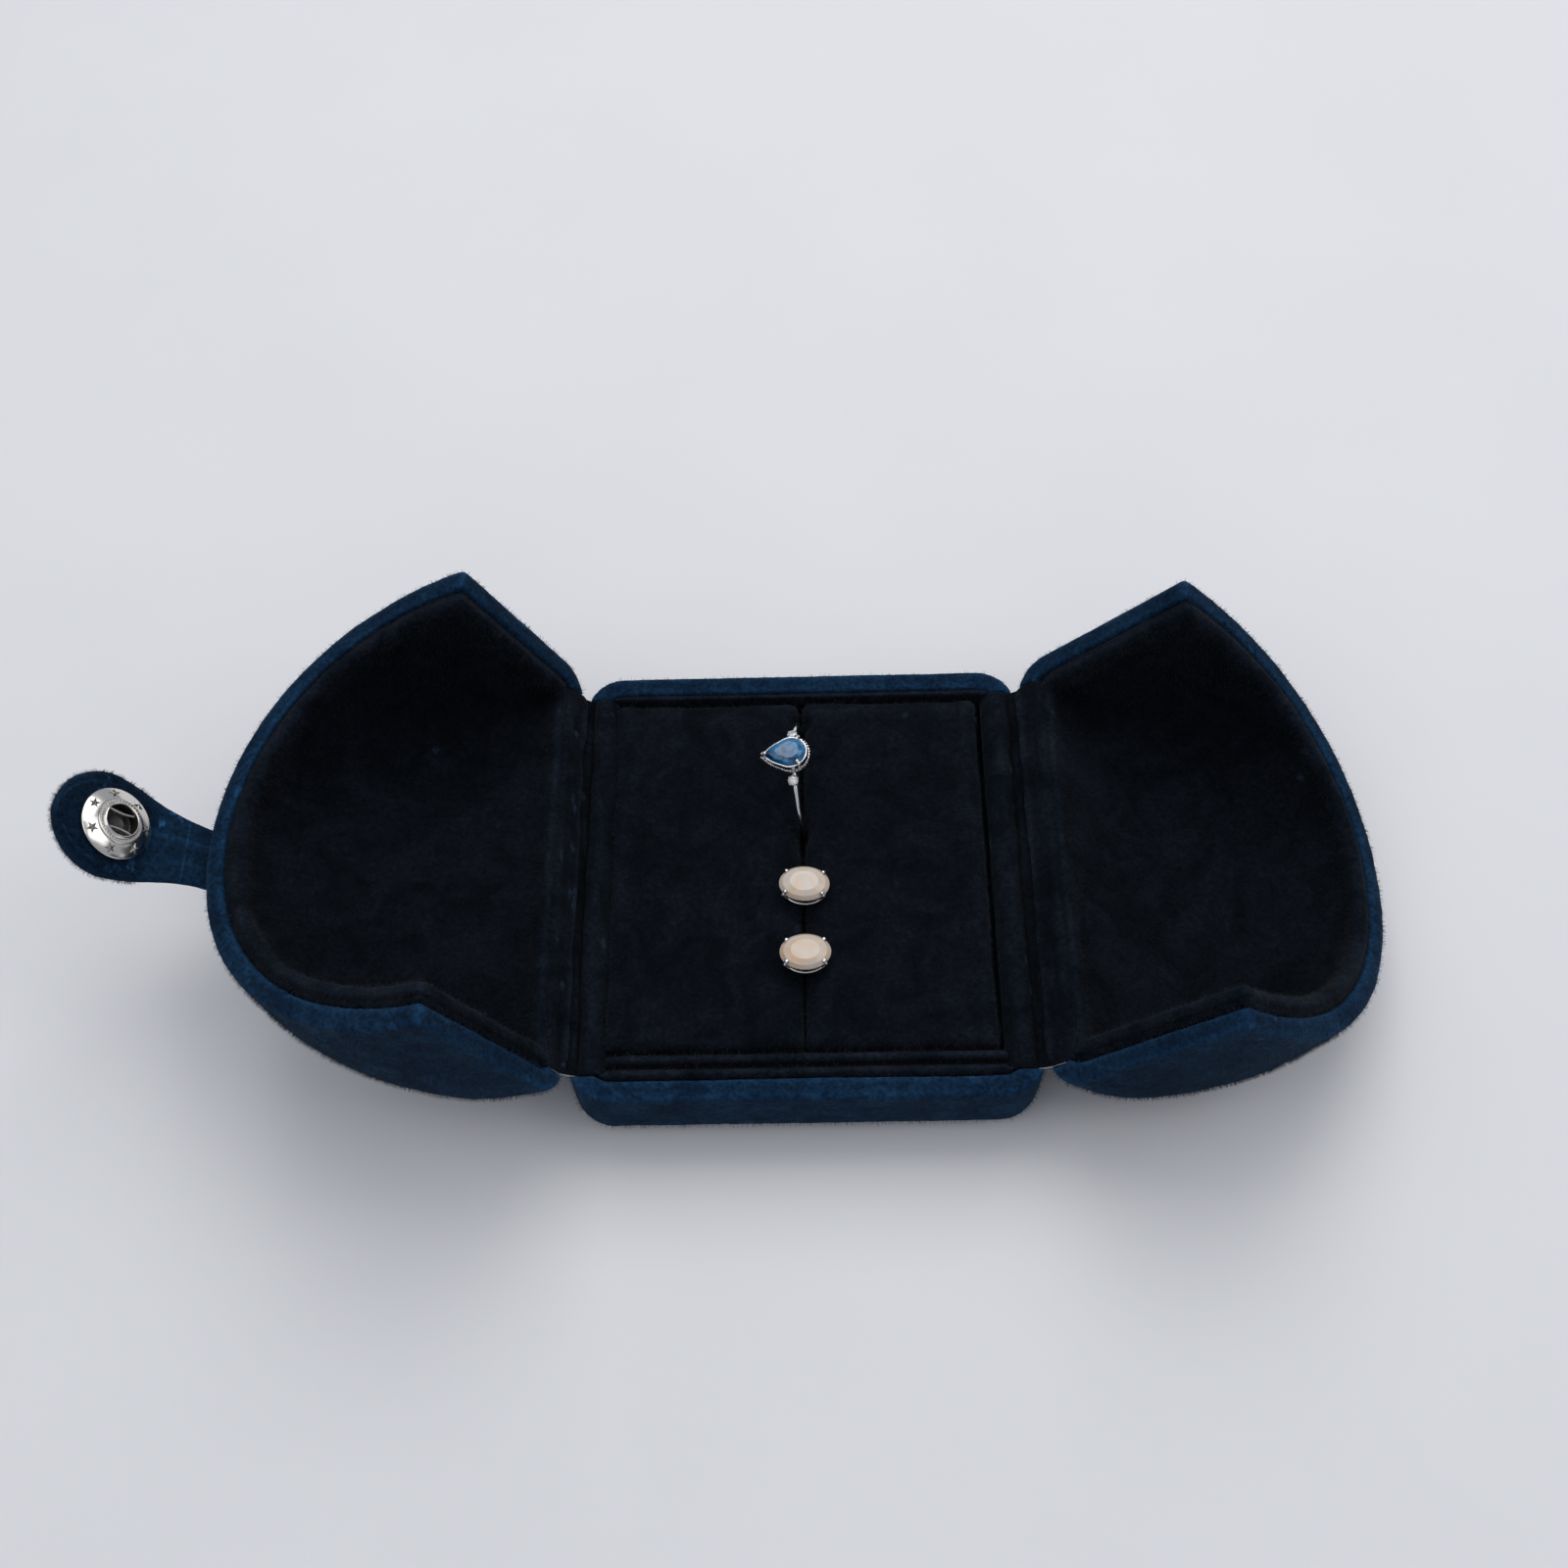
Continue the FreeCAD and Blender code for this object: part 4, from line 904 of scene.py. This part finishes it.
def strap():
    """Velvet strap in two lengths that meet inside the rigid middle link."""
    split = 0.5 * MID_LENGTH
    end_u = HEAD_U + STRAP_HEAD_R
    near_tip = np.linspace(0, 1, 60)[1:]
    round_end = end_u - (end_u - HEAD_U - 4) * (1 - near_tip) ** 2
    far = np.concatenate([np.linspace(split, HEAD_U + 4, 110), round_end])
    for name, stations in (("strap_root_velvet", np.linspace(-9.2, split, 110)), ("strap_head_velvet", far)):
        obj = new_mesh(name, *strap_section(stations))
        points = get_points(obj)
        seam_side = step(0.2, 1.4, np.abs((points - SEAM) @ MID_ALONG - split))
        lift = (0.07 * value_noise(points, 3.2, 50) + 0.035 * value_noise(points, 0.9, 51)) * seam_side
        set_points(obj, points + normals(obj) * lift[:, None])
        if name == "strap_root_velvet":
            finish_piece(obj, NAVY, "navy_velvet", None, "strap_root_tab", "strap_mid_outer_velvet",
                         "strap_mid_inner_velvet", "strap_mid_stiffener")
            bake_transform(obj)
        else:
            finish_piece(obj, NAVY, "navy_velvet", None, "strap_tip_outer_velvet", "strap_tip_inner_velvet",
                         "strap_tip_stiffener")
            fuzz(obj, "strap_tip", 16000, 81, NAVY_FIBRE, lambda p: (p - TIP_BEND) @ TIP_ALONG > 1.0)
            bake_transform(obj)


# ---- snap ----------------------------------------------------------------------------------------
def lathe(profile, segments=96):
    """Turned surface from (radius, height) pairs, open at both ends."""
    profile = np.array(profile, float)
    a = 2 * math.pi * np.arange(segments) / segments
    rows = [np.stack([r * np.cos(a), r * np.sin(a), np.full(segments, h)], axis=1) for r, h in profile]
    points = np.vstack(rows)
    faces = grid_faces(len(profile), segments, wrap=True, flip=True)
    return points, faces


def closed_lathe(profile, segments=96):
    points, faces = lathe(profile, segments)
    faces.append(tuple(range(segments)))
    faces.append(tuple(range(len(points) - segments, len(points)))[::-1])
    return points, faces


def ball(radius, centre, rings=8, segments=12):
    """A small closed sphere."""
    angles = np.linspace(0, math.pi, rings + 1)[1:-1]
    profile = [(radius * math.sin(t), -radius * math.cos(t)) for t in angles]
    points, faces = closed_lathe(profile, segments)
    return points + np.array(centre), faces


def merge(parts):
    points, faces, start = [], [], 0
    for p, f in parts:
        points.append(p)
        faces += [tuple(start + v for v in face) for face in f]
        start += len(p)
    return np.vstack(points), faces


def star(radius, height):
    """A raised five-pointed star with a ridge to each point."""
    rim = []
    for i in range(10):
        r = radius if i % 2 == 0 else 0.42 * radius
        a = math.pi * i / 5
        rim.append((r * math.cos(a), r * math.sin(a), 0.0))
    points = np.array(rim + [(x, y, -0.35) for x, y, _ in rim] + [(0, 0, height)])
    faces = [(i, (i + 1) % 10, 20) for i in range(10)]
    faces += [(i, i + 10, (i + 1) % 10 + 10, (i + 1) % 10) for i in range(10)]
    faces.append(tuple(range(19, 9, -1)))
    return points, faces


def to_strap(points):
    """From a frame whose +Z stands out of the strap's inner face at the button, to the resting pose."""
    button = TIP_BEND + (BUTTON_U - MID_LENGTH) * TIP_ALONG
    return (button + points[:, 0:1] * TIP_ALONG + points[:, 1:2] * ACROSS
            - (STRAP_HALF_T + points[:, 2:3]) * outward(TIP_ALONG))


def snap_socket():
    """Spring socket: rolled flange with stars, a milled ring and a well, which the two spring wires cross;
    the well's inside is near-black nickel as painted shade.
    """
    flange, height, hole = 5.7, 2.5, 2.5
    bead = 0.42
    arc = [(flange - bead + bead * math.sin(t), 0.55 - bead * math.cos(t)) for t in np.linspace(0.1, 2.6, 9)]
    slope = [(4.7, 1.22), (4.1, 1.5), (3.75, 1.62), (3.62, 1.66), (3.58, 1.86), (3.5, 1.98), (3.36, 2.02)]
    lip = [(3.0, 2.0), (2.92, 2.2), (2.82, 2.38), (2.68, height), (2.55, 2.46), (hole, 2.3), (hole, 0.4)]
    profile = [(0.3, 0.02)] + arc + slope + lip + [(2.3, 0.25), (0.3, 0.2)]
    parts = [closed_lathe(profile, 128)]
    beads = 40
    for i in range(beads):
        a = 2 * math.pi * i / beads
        parts.append(ball(0.17, (3.2 * math.cos(a), 3.2 * math.sin(a), 2.02), 6, 8))
    for i in range(7):
        points, faces = star(0.92, 0.3)
        a = 2 * math.pi * i / 7 + 0.35
        turn = np.array([[math.cos(a), -math.sin(a), 0], [math.sin(a), math.cos(a), 0], [0, 0, 1]])
        tilt = math.radians(22)
        cos, sin = math.cos(tilt), math.sin(tilt)
        lean = np.array([[cos, 0, sin], [0, 1, 0], [-sin, 0, cos]])
        points = (points @ lean.T + np.array([4.58, 0, 1.33])) @ turn.T
        parts.append((points, faces))
    rivet = [(0.05, 0.2), (1.15, 0.2), (1.3, 0.35), (1.25, 0.5), (1.0, 0.42), (0.05, 0.4)]
    parts.append(closed_lathe(rivet, 48))
    points, faces = merge(parts)
    obj = new_mesh("snap_socket_metal", to_strap(points), faces)
    finish_piece(obj, NICKEL, "nickel", "strap_tip", "snap_socket")
    # painted shade: faces inside the well take the near-black nickel
    obj.data.materials.append(WELL_PAINTED_SHADE)
    for face, corners in zip(obj.data.polygons, faces):
        radius = np.hypot(points[list(corners), 0], points[list(corners), 1]).max()
        height = points[list(corners), 2].min()
        if 0.1 < radius < hole + 0.05 and height > 0.0:
            face.material_index = 1
    sharpen(obj, 32)


def sharpen(obj, degrees):
    """Keeps edges steeper than degrees crisp under smooth shading."""
    bpy.context.view_layer.objects.active = obj
    obj.select_set(True)
    bpy.ops.object.shade_smooth_by_angle(angle=math.radians(degrees))
    obj.select_set(False)
    if obj.modifiers:
        apply_modifiers(obj)


def tube(path, radius, segments=10):
    """A closed round wire along path."""
    path = np.array(path, float)
    along = np.gradient(path, axis=0)
    along /= np.linalg.norm(along, axis=1)[:, None]
    side = np.cross(along, np.array([0.31, 0.17, 0.94]))
    side /= np.linalg.norm(side, axis=1)[:, None]
    up = np.cross(along, side)
    rows = []
    radii = np.full(len(path), radius) if np.isscalar(radius) else np.array(radius)
    for centre, s, u, r in zip(path, side, up, radii):
        a = 2 * math.pi * np.arange(segments) / segments
        rows.append(centre + r * np.cos(a)[:, None] * s + r * np.sin(a)[:, None] * u)
    points = np.vstack(rows)
    faces = grid_faces(len(path), segments, wrap=True)
    faces.append(tuple(range(segments))[::-1])
    faces.append(tuple(range(len(points) - segments, len(points))))
    return points, faces


def spring_wires():
    """Two bowed wires across the socket's well."""
    for name, side in (("front", -1), ("back", 1)):
        t = np.linspace(-1, 1, 24)
        path = np.stack([2.1 * t, side * (1.3 + 0.25 * t ** 2), np.full(24, 1.75)], axis=1)
        points, faces = tube(path, 0.2)
        obj = new_mesh(name + "_spring_wire_metal", to_strap(points), faces)
        finish_piece(obj, STEEL, "steel_wire", name + "_spring_wire", "snap_spring_wire_" + name)


def snap_cap():
    """Domed cap on the strap's outer face."""
    dome = [(6.0 * math.sin(t), 0.28 + 1.35 * math.cos(t)) for t in np.linspace(0.02, 1.45, 18)]
    points, faces = closed_lathe(dome + [(6.0, 0.3), (5.95, 0.1), (5.7, 0.0), (0.2, 0.0)][:3], 96)
    points[:, 2] = -points[:, 2] - 2 * STRAP_HALF_T - 0.02
    obj = new_mesh("snap_cap_metal", to_strap(points), [face[::-1] for face in faces])
    finish_piece(obj, NICKEL, "nickel", "strap_tip", "snap_cap")


def snap_stud():
    """Ball stud on the right door, turned round the CAD stud's own axis."""
    points = shut_door(node_points("snap_stud"), "right")
    rivet = shut_door(node_points("snap_stud_rivet"), "right")
    foot, inner = points.mean(axis=0), rivet.mean(axis=0)
    axis = foot - inner
    axis[1] = 0.0
    axis /= np.linalg.norm(axis)
    side = np.array([axis[2], 0.0, -axis[0]])
    base = foot + axis * ((points - foot) @ axis).min()
    flange = [(0.05, 0.0), (4.7, 0.0), (4.98, 0.14), (5.0, 0.3), (4.85, 0.5), (4.3, 0.66), (3.6, 0.8)]
    neck = [(1.9, 0.86), (1.42, 0.95), (1.3, 1.1), (1.3, 1.85)]
    head = [(1.45, 2.05), (1.62, 2.25), (1.66, 2.42), (1.6, 2.62), (1.4, 2.8), (1.05, 2.88), (0.05, 2.9)]
    p, faces = closed_lathe(flange + neck + head, 96)
    placed = base + p[:, 0:1] * side + p[:, 1:2] * np.array([0.0, 1.0, 0.0]) + p[:, 2:3] * axis
    obj = new_mesh("snap_stud_metal", open_door(placed, "right"), faces)
    finish_piece(obj, NICKEL, "nickel", "right_door", "snap_stud")


# ---- jewelry -------------------------------------------------------------------------------------
RING_LEAN, RING_NOD = 10.0, 4.0
RING_OUT = 10.15          # outer radius of the band
SIDE_STONE_ANGLE = 22.0
STONE_SINK = 0.6


def ring_frame():
    """Centre and axes of the ring: its own +X, +Y and +Z in the row frame."""
    nod, lean = math.radians(RING_NOD), math.radians(RING_LEAN)
    about_x = np.array([[1, 0, 0], [0, math.cos(nod), -math.sin(nod)], [0, math.sin(nod), math.cos(nod)]])
    about_y = np.array([[math.cos(lean), 0, -math.sin(lean)], [0, 1, 0], [math.sin(lean), 0, math.cos(lean)]])
    turn = about_y @ about_x
    local = node_points("ring_band") @ turn
    low = local.min(axis=0)
    middle = 0.5 * (local[:, :2].min(axis=0) + local[:, :2].max(axis=0))
    centre = turn @ np.array([middle[0], middle[1], low[2] + RING_OUT])
    return turn, centre


RING_TURN, RING_AT = ring_frame()


def to_ring(points):
    return points @ RING_TURN.T + RING_AT


def ring_band():
    """Half-round shank, thicker towards the shoulders."""
    around, section = 180, 28
    rows = []
    for i in range(around):
        t = 2 * math.pi * i / around
        shoulder = 0.5 + 0.5 * math.cos(t)
        wide = 0.36 + 0.1 * shoulder
        a = 2 * math.pi * np.arange(section) / section
        r = 9.42 + np.where(np.cos(a) > 0, 0.68, 0.42) * np.cos(a)
        x = wide * np.sign(np.sin(a)) * np.abs(np.sin(a)) ** 0.8
        rows.append(np.stack([x, r * math.sin(t), r * math.cos(t)], axis=1))
    points = np.vstack(rows)
    faces = grid_faces(around, section, wrap=True)
    top = len(points) - section
    faces += [(top + k, top + (k + 1) % section, (k + 1) % section, k) for k in range(section)]
    parts = [(points, faces)]
    for side in (-1, 1):
        cup, cup_faces = closed_lathe([(0.2, 9.6), (0.5, 9.7), (0.8, 10.8), (0.93, 11.6), (0.86, 11.74),
                                       (0.76, 11.6), (0.2, 11.0)], 40)
        parts.append((turn_x(cup - (0, 0, STONE_SINK), -side * SIDE_STONE_ANGLE), cup_faces))
        for k in range(4):
            a = math.pi * (0.25 + 0.5 * k)
            grain, grain_faces = ball(0.17, (0.82 * math.cos(a), 0.82 * math.sin(a), 11.8), 6, 8)
            parts.append((turn_x(grain - (0, 0, STONE_SINK), -side * SIDE_STONE_ANGLE), grain_faces))
    points, faces = merge(parts)
    obj = new_mesh("ring_band_silver", to_ring(points), faces)
    finish_piece(obj, SILVER, "silver", "ring", "ring_band")
    sharpen(obj, 35)


def turn_x(points, degrees):
    a = math.radians(degrees)
    out = points.copy()
    out[:, 1] = points[:, 1] * math.cos(a) - points[:, 2] * math.sin(a)
    out[:, 2] = points[:, 1] * math.sin(a) + points[:, 2] * math.cos(a)
    return out


PEAR_R, PEAR_TIP, HEAD_Z = 2.5, 4.4, 12.35


def pear(count, grow=0.0, scale=1.0, height=0.0):
    """Points round a pear with its tip towards -X."""
    lean = math.acos(PEAR_R / PEAR_TIP)
    points = []
    for i in range(count):
        a = -math.pi + 2 * math.pi * (i + 0.5) / count
        edge = math.pi - lean
        r = PEAR_R + grow
        if abs(a) <= edge:
            x, y = r * math.cos(a), r * math.sin(a)
        else:
            side = 1 if a > 0 else -1
            share = (abs(a) - edge) / (math.pi - edge)
            x0, y0 = r * math.cos(edge), side * r * math.sin(edge)
            bulge = 0.22 * math.sin(math.pi * share)
            x = x0 + (-PEAR_TIP - 1.2 * grow - x0) * share - bulge * 0.5
            y = y0 * (1 - share) + side * bulge
        points.append((x * scale, y * scale, height))
    return np.array(points)


def stacked(rings):
    """A faceted stone from rings of points that have the same count; alternate triangles make the facets."""
    count = len(rings[0])
    points = np.vstack(rings)
    faces = []
    for level in range(len(rings) - 1):
        for i in range(count):
            a, b = level * count + i, level * count + (i + 1) % count
            c, d = a + count, b + count
            faces += [(a, b, c), (b, d, c)] if i % 2 else [(a, b, d), (a, d, c)]
    faces.append(tuple(range(count))[::-1])
    faces.append(tuple(range(len(points) - count, len(points))))
    return points, faces


def flat_gem(name, parts, material, slot_name, body, node):
    points, faces = parts
    obj = new_mesh(name, points, faces)
    finish_piece(obj, material, slot_name, body, node)
    obj.data.polygons.foreach_set("use_smooth", [False] * len(obj.data.polygons))
    obj.data.update()
    return obj


def pear_gem():
    count = 24
    cuts = ((0.12, -1.75), (0.6, -0.95), (1.0, -0.08), (1.0, 0.08), (0.84, 0.6), (0.58, 0.95))
    points, faces = stacked([pear(count, 0, scale, HEAD_Z + height) for scale, height in cuts])
    flat_gem("ring_pear_stone", (to_ring(points), faces), TOPAZ, "blue_topaz", "ring", "ring_pear_gem")


def side_gems():
    parts = []
    for side in (-1, 1):
        a = 2 * math.pi * np.arange(16) / 16
        outline = ((0.08, 11.1), (0.82, 11.7), (0.82, 11.76), (0.66, 11.95), (0.46, 12.02))
        rings = [np.stack([r * np.cos(a), r * np.sin(a), np.full(16, h)], axis=1) for r, h in outline]
        points, faces = stacked(rings)
        parts.append((turn_x(points - (0, 0, STONE_SINK), -side * SIDE_STONE_ANGLE), faces))
    points, faces = merge(parts)
    flat_gem("ring_side_stones", (to_ring(points), faces), BRILLIANT, "clear_gem", "ring", "ring_side_gems")


def closed_path(points):
    """A loop run on over its first two points, so that a tube along it joins up."""
    return np.vstack([points, points[:2]])


def ring_setting():
    """Beaded rail round the pear, a lower rail, and three claws."""
    parts = [tube(closed_path(pear(72, 0.1, 1.0, HEAD_Z - 0.12)), 0.13),
             tube(closed_path(pear(72, 0.34, 1.0, HEAD_Z - 1.1)), 0.16),
             tube(closed_path(pear(72, 0.4, 0.9, HEAD_Z - 1.95)), 0.17)]
    outline = pear(200, 0.45, 1.0, HEAD_Z - 0.98)
    gaps = np.linalg.norm(np.diff(np.vstack([outline, outline[:1]]), axis=0), axis=1)
    travelled = np.concatenate([[0], np.cumsum(gaps)])
    beads = 40
    for i in range(beads):
        index = int(np.searchsorted(travelled, travelled[-1] * i / beads))
        parts.append(ball(0.22, outline[min(index, len(outline) - 1)], 6, 10))
    for i in range(10):
        foot = pear(10, 0.4, 0.9, HEAD_Z - 1.95)[i]
        head = pear(10, 0.34, 1.0, HEAD_Z - 1.1)[i]
        parts.append(tube(np.linspace(foot, head, 4), 0.13, 8))
    for x, y in ((-PEAR_TIP - 0.05, 0.0), (1.35, 2.3), (1.35, -2.3)):
        outward = np.array([x, y, 0.0]) / math.hypot(x, y)
        base = np.array([0.8 * x, 0.8 * y, HEAD_Z - 1.9])
        top = np.array([x, y, HEAD_Z + 0.1]) + 0.15 * outward
        over = np.array([x, y, HEAD_Z + 0.42]) - 0.35 * outward
        path = curve_through([base, 0.5 * (base + top) + 0.1 * outward, top, over], 14)
        parts.append(tube(path, np.linspace(0.26, 0.32, 14), 10))
        parts.append(ball(0.36, over, 8, 12))
    for side in (-1, 1):
        parts.append(tube(np.linspace((0, side * 2.6, 9.75), (0, side * 1.7, HEAD_Z - 1.75), 4), 0.42, 10))
    points, faces = merge(parts)
    obj = new_mesh("ring_setting_silver", to_ring(points), faces)
    finish_piece(obj, SILVER, "silver", "ring", "ring_setting")
    sharpen(obj, 40)


OPAL_A, OPAL_B = 4.0, 3.0


def earring(place):
    """Oval opal in a four-claw setting on a wire gallery."""
    low, high = node_box(place + "_earring_opal")
    centre = 0.5 * (low + high)
    girdle = low[2] + 1.5
    turn = math.radians({"back": -4.0, "front": 0.0}[place])
    spin = np.array([[math.cos(turn), -math.sin(turn), 0], [math.sin(turn), math.cos(turn), 0], [0, 0, 1]])

    def put(points):
        return points @ spin.T + np.array([centre[0], centre[1], girdle])

    def ellipse(scale, height, count=32):
        a = 2 * math.pi * np.arange(count) / count
        x, y = OPAL_A * scale * np.cos(a), OPAL_B * scale * np.sin(a)
        return np.stack([x, y, np.full(count, height)], axis=1)

    cuts = ((0.2, -1.5), (0.7, -1.05), (0.95, -0.4), (1.0, -0.1), (1.0, 0.1), (0.85, 0.72), (0.56, 1.12))
    points, faces = stacked([ellipse(scale, height) for scale, height in cuts])
    body = place + "_earring"
    flat_gem(body + "_stone", (put(points), faces), OPAL, "opal", body, body + "_opal")
    gallery = ellipse(0.84, -2.15, 64)
    parts = [tube(closed_path(gallery), 0.2)]
    parts.append(tube(np.linspace((-3.2, 0, -2.25), (3.2, 0, -2.25), 6), 0.24))
    parts.append(tube(np.linspace((0, 0, -11.4), (0, 0, -2.2), 6), 0.4))
    for x in (-1, 1):
        for y in (-1, 1):
            outward = np.array([0.74 * x, 0.67 * y, 0.0])
            edge = np.array([x * OPAL_A * 0.79, y * OPAL_B * 0.68, 0.0])
            foot = np.array([x * 2.55, y * 1.75, -2.2])
            path = curve_through([foot, edge * 0.97 + (0, 0, -1.0), edge + 0.1 * outward + (0, 0, 0.1),
                                  edge - 0.35 * outward + (0, 0, 0.55)], 12)
            parts.append(tube(path, np.linspace(0.24, 0.3, 12), 10))
            parts.append(ball(0.37, path[-1], 8, 12))
    points, faces = merge(parts)
    obj = new_mesh(place + "_earring_silver", put(points), faces)
    finish_piece(obj, SILVER, "silver", place + "_earring", place + "_earring_setting")
    sharpen(obj, 40)


# ---- stage ---------------------------------------------------------------------------------------
def stage():
    """Pale floor, broad soft light from above and behind, and the camera."""
    mesh = bpy.data.meshes.new("floor")
    mesh.from_pydata([(-2, -2, 0), (2, -2, 0), (2, 2, 0), (-2, 2, 0)], [], [(0, 1, 2, 3)])
    floor = bpy.data.objects.new("floor", mesh)
    bpy.context.scene.collection.objects.link(floor)
    mesh.materials.append(tinted("floor", 18.0, 4.0, (0.70, 0.71, 0.735), (0.715, 0.725, 0.75),
                                 Roughness=0.7))

    world = bpy.data.worlds.new("studio")
    world.use_nodes = True
    world.node_tree.nodes["Background"].inputs["Color"].default_value = (0.86, 0.9, 1.0, 1)
    world.node_tree.nodes["Background"].inputs["Strength"].default_value = 0.42
    bpy.context.scene.world = world
    lamps = (("key", (0.05, 0.55, 0.85), 0.8, 5.0), ("fill", (-0.5, -0.1, 0.9), 0.9, 2.0),
             ("side", (0.6, 0.0, 0.7), 0.6, 1.6))
    for name, place, size, power in lamps:
        data = bpy.data.lights.new(name, "AREA")
        data.size = size
        data.energy = power
        data.color = (1.0, 0.985, 0.96)
        lamp = bpy.data.objects.new(name, data)
        lamp.location = place
        aim = Vector((0, 0, 0)) - Vector(place)
        lamp.rotation_euler = aim.to_track_quat("-Z", "Y").to_euler()
        bpy.context.scene.collection.objects.link(lamp)


def camera():
    """High three-quarter view from the front, slightly rolled."""
    yaw, elevation, roll = math.radians(-2.0), math.radians(60.73), math.radians(-2.86)
    look_at = Vector((-2.9, 16.2, 16.0)) * MM
    distance = 286.5 * MM
    level_part = math.cos(elevation)
    forward = Vector((math.sin(yaw) * level_part, math.cos(yaw) * level_part, -math.sin(elevation)))
    level = Vector((math.cos(yaw), -math.sin(yaw), 0.0))
    upright = level.cross(forward)
    right = level * math.cos(roll) + upright * math.sin(roll)
    up = upright * math.cos(roll) - level * math.sin(roll)
    data = bpy.data.cameras.new("camera")
    data.sensor_width = 36.0
    data.lens = 39.93
    data.clip_start = 0.01
    obj = bpy.data.objects.new("camera", data)
    matrix = Matrix((right, up, -forward)).transposed().to_4x4()
    matrix.translation = look_at - forward * distance
    obj.matrix_world = matrix
    bpy.context.scene.collection.objects.link(obj)
    bpy.context.scene.camera = obj
    bpy.context.scene.view_settings.view_transform = "Standard"


def build():
    for node, material in (("pad_board", CARD), ("snap_stud_rivet", NICKEL)):
        frame["nodes"][node].data.materials.clear()
        frame["nodes"][node].data.materials.append(material)
    base_velvet()
    tray_velvet()
    for side, seed in (("left", 61), ("right", 71)):
        pad_half(side, seed)
        door_cover(side, seed + 2)
        door_lining(side, seed + 4)
        hinge_lining(side, seed + 6)
        hinge_plastic(side)
    strap()
    snap_socket()
    spring_wires()
    snap_cap()
    snap_stud()
    ring_band()
    ring_setting()
    pear_gem()
    side_gems()
    earring("back")
    earring("front")
    stage()
    camera()


build()
